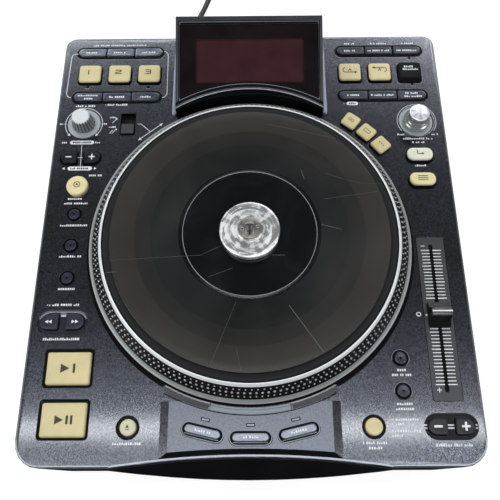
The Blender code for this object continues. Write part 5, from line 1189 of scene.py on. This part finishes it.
# The rear slope's lighter grey is painted light.
flank_lit_grey = finish("flank_lit_grey", (0.055, 0.056, 0.058), 0.35, drift=0.15, drift_size=4)
bm = bmesh.new()
fader_rings = []
for width, length, height in ((14.8, 17.4, 0.6), (14.8, 17.4, 1.4), (14.6, 16.6, 2.1), (14.4, 12.6, 3.1),
                              (14.2, 9.6, 4.5), (14.1, 7.9, 6.3), (14.0, 6.6, 8.0), (13.6, 5.6, 9.5),
                              (13.4, 5.3, 9.9), (12.9, 4.8, 10.3), (12.6, 4.4, 10.4)):
    outline_points = rounded(width, length, 0.8, steps=4)
    fader_rings.append([bm.verts.new((x * mm, y * mm, height * mm)) for x, y in outline_points])


def sort_fader(level_index, step, face):
    """Which finish a face of the fader cap has: its bright ridge, the lighter grey of painted light on its
    rear slope, or its shell.
    """
    middle = face.calc_center_median()
    on_slope = 0 < level_index < 5 and middle.y > 0 and abs(middle.x) < 6.9 * mm
    return 1 if level_index >= 7 else 2 if on_slope else 0


skin(bm, fader_rings, sort_fader)
bm.faces.new(fader_rings[0][::-1])
bm.faces.new(fader_rings[-1]).material_index = 1
add_cap(bm, plain_outline(1.4, 6.0, 0.3), -5.2, 2.0, 0.2)
fit("pitch_fader_cap", even_out(mesh_of(bm, "pitch_fader_cap"), 40), [cap_black, ridge_bright, flank_lit_grey],
    "pitch_fader", ("pitch_fader",), fader_place)
print_on("pitch_fader_line", stroke([(-6.2, 0.35), (6.2, 0.35)], 1.1), 10.36, white_ink_and_highlight, "pitch_fader",
         fader_place, film=0.05)
print_on("pitch_fader_edges",
         stroke([(-6.2, -0.55), (6.2, -0.55)], 0.7) + stroke([(-6.2, 1.15), (6.2, 1.15)], 0.45), 10.36,
         black_ink_and_shade, "pitch_fader", fader_place, film=0.04)

# Display housing and window.
# A satin black moulded hood whose face leans to the user, hollowed round the platter, and a smoked
# acrylic pane flush in it, masked black with a dark red clear field over the display tube.
hood_plastic = finish("hood_plastic", (0.022, 0.024, 0.028), 0.3, 0.2, drift=0.1, grain=0.01,
                      grain_size=0.3, edge_wear_and_shading=(0.20, 0.21, 0.22), edge=0.6)
hood_lit_face = finish("hood_lit_face", (0.036, 0.039, 0.043), 0.3, 0.2, drift=0.1, grain=0.01, grain_size=0.3,
                   edge_wear_and_shading=(0.20, 0.21, 0.22), edge=0.6)
# The hood's upward face is a lighter copy of its plastic, as painted light. On it a bright band along its
# front edge and a pale line round the pane are painted highlights, and a near black band with little sheen
# runs round the pane and between the front edge and the pane.
tree = hood_lit_face.node_tree
shader = tree.nodes["Principled BSDF"]
face_tone = shader.inputs["Base Color"].links[0].from_socket
centred = vector_arith(tree, "ADD", object_place(tree), tuple(-axis))
reach = from_axis(tree, centred)[1]
parts = add_node(tree, "SeparateXYZ", {0: centred}).outputs
from_side = arith(tree, "SUBTRACT", arith(tree, "ABSOLUTE", parts["X"]), 52.9 * mm)
from_rear = arith(tree, "SUBTRACT", parts["Y"], 168.15 * mm)
from_front = arith(tree, "SUBTRACT", 122.05 * mm, reach)
outside = arith(tree, "MAXIMUM", from_side, from_rear)
outside = arith(tree, "MAXIMUM", outside, from_front)
by_pane = remap(tree, outside, 0.95 * mm, 0.85 * mm)
on_lip = remap(tree, reach, 119.65 * mm, 119.75 * mm)
before_pane = remap(tree, reach, 122.1 * mm, 122.0 * mm)
groove_dark = arith(tree, "MULTIPLY", on_lip, before_pane)
dark = arith(tree, "MAXIMUM", by_pane, groove_dark)
near_line = arith(tree, "ABSOLUTE", outside)
pane_line_highlight = remap(tree, near_line, 0.22 * mm, 0.12 * mm)
front_rim_highlight = remap(tree, reach, 118.60 * mm, 118.50 * mm)
for share, tone in ((dark, (0.005, 0.005, 0.006, 1)), (pane_line_highlight, (0.26, 0.26, 0.27, 1)),
                    (front_rim_highlight, (0.42, 0.43, 0.44, 1))):
    face_tone = blend(tree, share, face_tone, tone)
tree.links.new(face_tone, shader.inputs["Base Color"])
face_sheen = remap(tree, dark, 0, 1, 0.5, 0.04)
tree.links.new(face_sheen, shader.inputs["Specular IOR Level"])
shader.inputs["Metallic"].default_value = 0


def sort_hood(place, normal):
    """Which finish a face of the hood has: its upward face in a lighter copy of its plastic, as painted
    light; its hollow front, which lies in deep shadow, in gloss black darker than the shell, as painted
    shade; or its shell.
    """
    if normal.z > 0.5:
        return 1
    return 2 if math.hypot(place.x - axis.x, place.y - axis.y) < 118.4 * mm else 0


reface("display_housing", [hood_plastic, hood_lit_face, gloss_black], sort_hood, 30)
window_acrylic = finish("window_acrylic", (0.010, 0.007, 0.008), 0.06, drift=0.3, drift_size=30,
                        spread=0.02, sheen=0.3)
tree = window_acrylic.node_tree
shader = tree.nodes["Principled BSDF"]
black_mask = shader.inputs["Base Color"].links[0].from_socket
window_place = object_place(tree)
field_place = add_node(tree, "SeparateXYZ", {0: window_place}).outputs
from_side = arith(tree, "SUBTRACT", field_place["X"], 0.5 * mm)
from_side = arith(tree, "ABSOLUTE", from_side)
from_middle = arith(tree, "SUBTRACT", field_place["Y"], axis.y + 139.1 * mm)
from_middle = arith(tree, "ABSOLUTE", from_middle)
in_width = remap(tree, from_side, 41.6 * mm, 39.4 * mm)
in_depth = remap(tree, from_middle, 16.8 * mm, 14.8 * mm)
in_field = arith(tree, "MULTIPLY", in_width, in_depth)
mottle = noise(tree, window_place, 60.0)
maroon = add_node(tree, "ValToRGB", {"Fac": mottle})
maroon.color_ramp.elements[0].color = (0.030, 0.010, 0.012, 1)
maroon.color_ramp.elements[1].color = (0.060, 0.021, 0.024, 1)
pane_tone = blend(tree, in_field, black_mask, maroon.outputs["Color"])
tree.links.new(pane_tone, shader.inputs["Base Color"])
reface("display_window", [window_acrylic], sharp=25)

# Platter.
# Cast aluminium, turned on its rim, band and lower ring. The band is black with three rows of
# milled bright dots, the rim is brushed and the deck under the mat is black.
platter_bright = spun_metal("platter_bright", (0.95, 0.96, 0.97), 0.35, ring=0.5, drift=0.04, metallic=0.15)
platter_ring = spun_metal("platter_ring", (0.42, 0.44, 0.44), 0.42, ring=0.4, drift=0.10, metallic=0.35)
band_black = finish("band_black", (0.008, 0.008, 0.009), 0.5, drift=0.2, drift_size=10, sheen=0.15)
dot_silver = finish("dot_silver", (0.64, 0.65, 0.64), 0.42, 0.5, drift=0.15, drift_size=5)
casting = finish("casting", (0.20, 0.20, 0.21), 0.55, 0.8, drift=0.15, grain=0.02)
platter_profile = [(0, 24.0), (2.9, 24.0), (3.5, 23.4), (3.5, 18.6), (101.9, 18.6), (102.1, 20.0),
                   (102.2, 20.2), (102.5, 20.3), (102.8, 20.2), (103.3, 19.7), (103.8, 19.15),
                   (104.4, 18.4), (104.6, 18.0), (110.7, 9.9), (110.8, 9.5), (110.9, 9.4), (111.6, 8.7),
                   (112.3, 7.9), (112.8, 7.45), (113.2, 7.3), (113.5, 7.2), (113.5, 6.8), (112.2, 5.9),
                   (107.6, 3.2), (99.9, 3.2), (97.7, 15.4), (16.0, 15.4), (16.0, 5.1), (5.3, 5.1),
                   (5.3, 14.0), (0, 14.0)]
platter_finishes = [0, 0, 0, 1, 2] + [0] * 6 + [1] * 4 + [3] * 6 + [1] * 2 + [4] * 7
mesh = turned("platter_body", platter_profile, 240, platter_finishes)
fit("platter_body", mesh, [platter_bright, band_black, band_black, platter_ring, casting], "platter",
    ("platter",), axis)
bm = bmesh.new()
band_low, band_high = Vector((110.7, 9.9)), Vector((104.6, 18.0))
outward = Vector((band_high.y - band_low.y, band_low.x - band_high.x)).normalized()
for share, radius, count, shift in ((0.20, 0.62, 180, 0.0), (0.50, 0.92, 174, 0.5),
                                    (0.80, 0.62, 168, 0.25)):
    middle = band_low.lerp(band_high, share)
    along = (band_high - band_low).normalized()
    for number in range(count):
        angle = 2 * math.pi * (number + shift) / count
        radial = Vector((math.cos(angle), math.sin(angle), 0))
        around = Vector((-math.sin(angle), math.cos(angle), 0))
        rim_points = []
        for reach, lift in ((1.0, -0.1), (0.85, 0.12), (0.4, 0.2)):
            ring = []
            for step in range(8):
                swing = 2 * math.pi * step / 8
                flat_by, up_by = radius * reach * math.cos(swing), radius * reach * math.sin(swing)
                radial_by = middle.x + along.x * up_by + outward.x * lift
                height_by = middle.y + along.y * up_by + outward.y * lift
                ring.append(bm.verts.new((radial * radial_by + around * flat_by + Vector((0, 0, height_by)))
                                         * mm))
            rim_points.append(ring)
        skin(bm, rim_points, lambda level_index, step, face: 0)
        bm.faces.new(rim_points[-1])
bmesh.ops.recalc_face_normals(bm, faces=bm.faces)
mesh = mesh_of(bm, "platter_dots")
mesh.shade_smooth()
fit("platter_dots", mesh, [dot_silver], "platter", (), axis)

# Slipmat.
# A thin black felt mat with short loose fibres, which lets the disc slip on the turning platter.
felt = finish("felt", (0.010, 0.010, 0.011), 0.95, drift=0.35, drift_size=3, grain=0.12, grain_size=0.25)
mesh = turned("slipmat_felt",
              [(3.8, 19.95), (40, 20.0), (100.8, 20.0), (101.3, 19.7), (101.4, 19.3), (101.2, 18.9),
               (3.8, 18.9)], 180, closed=True)
fit("slipmat_felt", mesh, [felt], "platter", ("slipmat",), axis)

# Scratch disc.
# A moulded vinyl-like plate. Its face has zones of finer and coarser grooves, worn to a brownish
# grey near the rim, with a pale ring that is the painted highlight on the bead at the label's edge,
# scratches and dull smudges from hands.
disc_vinyl, tree, shader = new_material("disc_vinyl")
shader.inputs["Specular IOR Level"].default_value = 0.3
shader.inputs["Anisotropic"].default_value = 0.55
place = object_place(tree)
reach = from_axis(tree, place)[1]
zones = add_node(tree, "ValToRGB", {"Fac": arith(tree, "MULTIPLY", reach, 10.0)})
zone_stops = ((0.0, (0.0046, 0.0052, 0.0058)), (0.488, (0.0044, 0.0050, 0.0054)),
              (0.492, (0.0082, 0.0088, 0.0086)), (0.672, (0.0088, 0.0092, 0.0088)),
              (0.676, (0.0060, 0.0062, 0.0060)), (0.682, (0.0126, 0.0128, 0.0120)),
              (0.790, (0.0134, 0.0134, 0.0124)), (0.797, (0.0225, 0.0212, 0.0184)),
              (0.958, (0.0250, 0.0234, 0.0200)), (0.964, (0.0100, 0.0100, 0.0100)))
zone_ramp = zones.color_ramp
for position, colour in zone_stops[1:-1]:
    zone_ramp.elements.new(position)
for stop, (position, colour) in zip(zone_ramp.elements, zone_stops):
    stop.position = position
    stop.color = (*colour, 1)
haze = noise(tree, place, 16.0, 5.0, Roughness=0.6, Distortion=0.8)
dulled = remap(tree, haze, 0.45, 0.75, 0.0, 0.22)
disc_tone = blend(tree, dulled, zones.outputs["Color"], (0.038, 0.036, 0.032, 1))
tree.links.new(disc_tone, shader.inputs["Base Color"])
ring_place = add_node(tree, "CombineXYZ", {"X": reach}).outputs[0]
grooves = noise(tree, ring_place, 1 / (0.6 * mm))
disc_dull = remap(tree, reach, 48.8 * mm, 49.2 * mm, 0.0, 0.14)
disc_gloss = remap(tree, haze, 0.3, 0.7, 0.15, 0.24)
disc_gloss = arith(tree, "ADD", disc_gloss, disc_dull)
tree.links.new(disc_gloss, shader.inputs["Roughness"])
groove_bump = add_node(tree, "Bump", {"Height": grooves, "Distance": 0.012 * mm}).outputs[0]
tree.links.new(groove_bump, shader.inputs["Normal"])
around_axis = add_node(tree, "Tangent", direction_type="RADIAL", axis="Z").outputs[0]
tree.links.new(around_axis, shader.inputs["Tangent"])
mesh = turned("scratch_disc_plate",
              [(3.8, 21.9), (45.5, 21.9), (45.8, 22.0), (46.0, 22.06), (46.2, 22.0), (46.5, 21.9),
               (48.8, 21.9), (49.1, 21.86), (49.4, 21.9), (90, 21.9), (95.9, 21.9), (96.1, 21.88),
               (96.5, 21.6), (96.6, 21.3), (96.6, 20.3), (3.8, 20.3)], 240, closed=True)
fit("scratch_disc_plate", mesh, [disc_vinyl], "scratch_disc", ("scratch_disc",), axis)
# The bead's pale ring is a painted highlight.
bead_highlight_grey = finish("bead_highlight_grey", (0.30, 0.31, 0.31), 0.3, drift=0.3, drift_size=20)
print_on("disc_bead_highlight", bow(0, 0, 46.0, 0, 360, 0.4, 120), 22.04, bead_highlight_grey, "scratch_disc")
scuff_pale = finish("scuff_pale", (0.050, 0.050, 0.047), 0.6, drift=0.5, drift_size=5)
scuff_line = finish("scuff_line", (0.11, 0.11, 0.10), 0.5, drift=0.4, drift_size=6)
scuffs = [[(-94.5, -20.4), (-60, -18.5), (-33.5, -17.1), (-19.8, -10.5)], [(-9.2, -50.0), (-25.5, -91.7)],
          [(-9.1, -78.9), (-5.7, -95.2)], [(11.0, 86.1), (38, 79.4), (62, 73)],
          [(51.6, 24.3), (90.5, 30.0)], [(-27.8, -32.6), (-11.9, -26.4)],
          [(54, 44.5), (66, 40), (78, 36.6), (92, 36)]]
bright_scuffs = [[(25.4, -52.2), (46.8, -83.2)], [(15.3, -17.3), (23.6, -17.3)], [(49.3, 5.0), (63.1, 1.1)],
                 [(36.6, 47.2), (38.5, 40.4)], [(-95.9, -29.2), (-89.5, -28.6)]]
for name, lines, material, width in (("disc_scuffs", scuffs, scuff_pale, 0.28),
                                     ("disc_bright_scuffs", bright_scuffs, scuff_line, 0.35)):
    print_on(name, [bar for line in lines for bar in stroke(line, width)], 21.9, material, "scratch_disc",
             film=0.02)

# Hub.
# A turned aluminium clamp, polished by hand into soft swirls, with a raised plate held by two
# screws round the spindle's pin. Dark marks on the pin and plate are painted shade of the pin's slot
# and the screws' sockets, and pale bars and an arc beside the slot are painted highlights.
hub_polish = spun_metal("hub_polish", (0.70, 0.69, 0.66), 0.28, ring=1.2, depth=0.012, drift=0.5, along=0.5,
                        metallic=0.5, swirl=0.45)
hub_plate = finish("hub_plate", (0.20, 0.19, 0.165), 0.35, 0.6, drift=0.25, drift_size=3)
hub_recess_shade = finish("hub_recess_shade", (0.03, 0.03, 0.03), 0.4, drift=0.2)
hub_profile = [(0, 30.6), (2.1, 30.6), (2.3, 30.5), (2.4, 30.3), (2.4, 28.8), (7.7, 28.8), (8.1, 28.6),
               (8.3, 28.2), (8.5, 26.4), (8.9, 26.05), (12.0, 26.0), (19.6, 26.0), (20.3, 25.8),
               (20.6, 25.5), (20.7, 25.0), (20.7, 22.2), (3.8, 22.2), (3.8, 24.3), (0, 24.3)]
mesh = turned("centre_hub_body", hub_profile, 120, [1] * 7 + [0] * (len(hub_profile) - 8))
fit("centre_hub_body", mesh, [hub_polish, hub_plate], "scratch_disc", ("centre_hub",), axis)
bm = bmesh.new()
for angle in (7, 190):
    x, y = 5.3 * math.cos(math.radians(angle)), 5.3 * math.sin(math.radians(angle))
    add_cap(bm, lambda inset, x=x, y=y: rounded(2.6, 2.6, 1.299, inset, 5, x, y), 28.7, 29.3, 0.3, 0.0)
fit("hub_screws", even_out(mesh_of(bm, "hub_screws")), [chrome_turned], "scratch_disc", (),
    axis)
# Dark marks for the slot and sockets are painted shade; pale bars and an arc beside the slot are painted
# highlights.
print_on("hub_screw_sockets", spot(5.26, 0.65, 0.6) + spot(-5.22, -0.92, 0.6), 29.3, hub_recess_shade,
         "scratch_disc")
print_on("hub_keyway", stroke([(-1.9, 1.3), (1.9, 1.3)], 1.0) + stroke([(0, 1.2), (0, -2.2)], 1.4), 30.6,
         hub_recess_shade, "scratch_disc")
print_on("hub_keyway_foot", stroke([(0, -2.4), (0, -4.6)], 1.3), 28.8, hub_recess_shade, "scratch_disc")
print_on("hub_keyway_glints",
         stroke([(-2.6, -0.8), (-2.5, -4.2)], 0.8) + stroke([(2.6, -0.8), (2.5, -4.2)], 0.8)
         + bow(0, 0.8, 3.2, 35, 145, 1.0, 10), 28.8, dish_sheen, "scratch_disc")
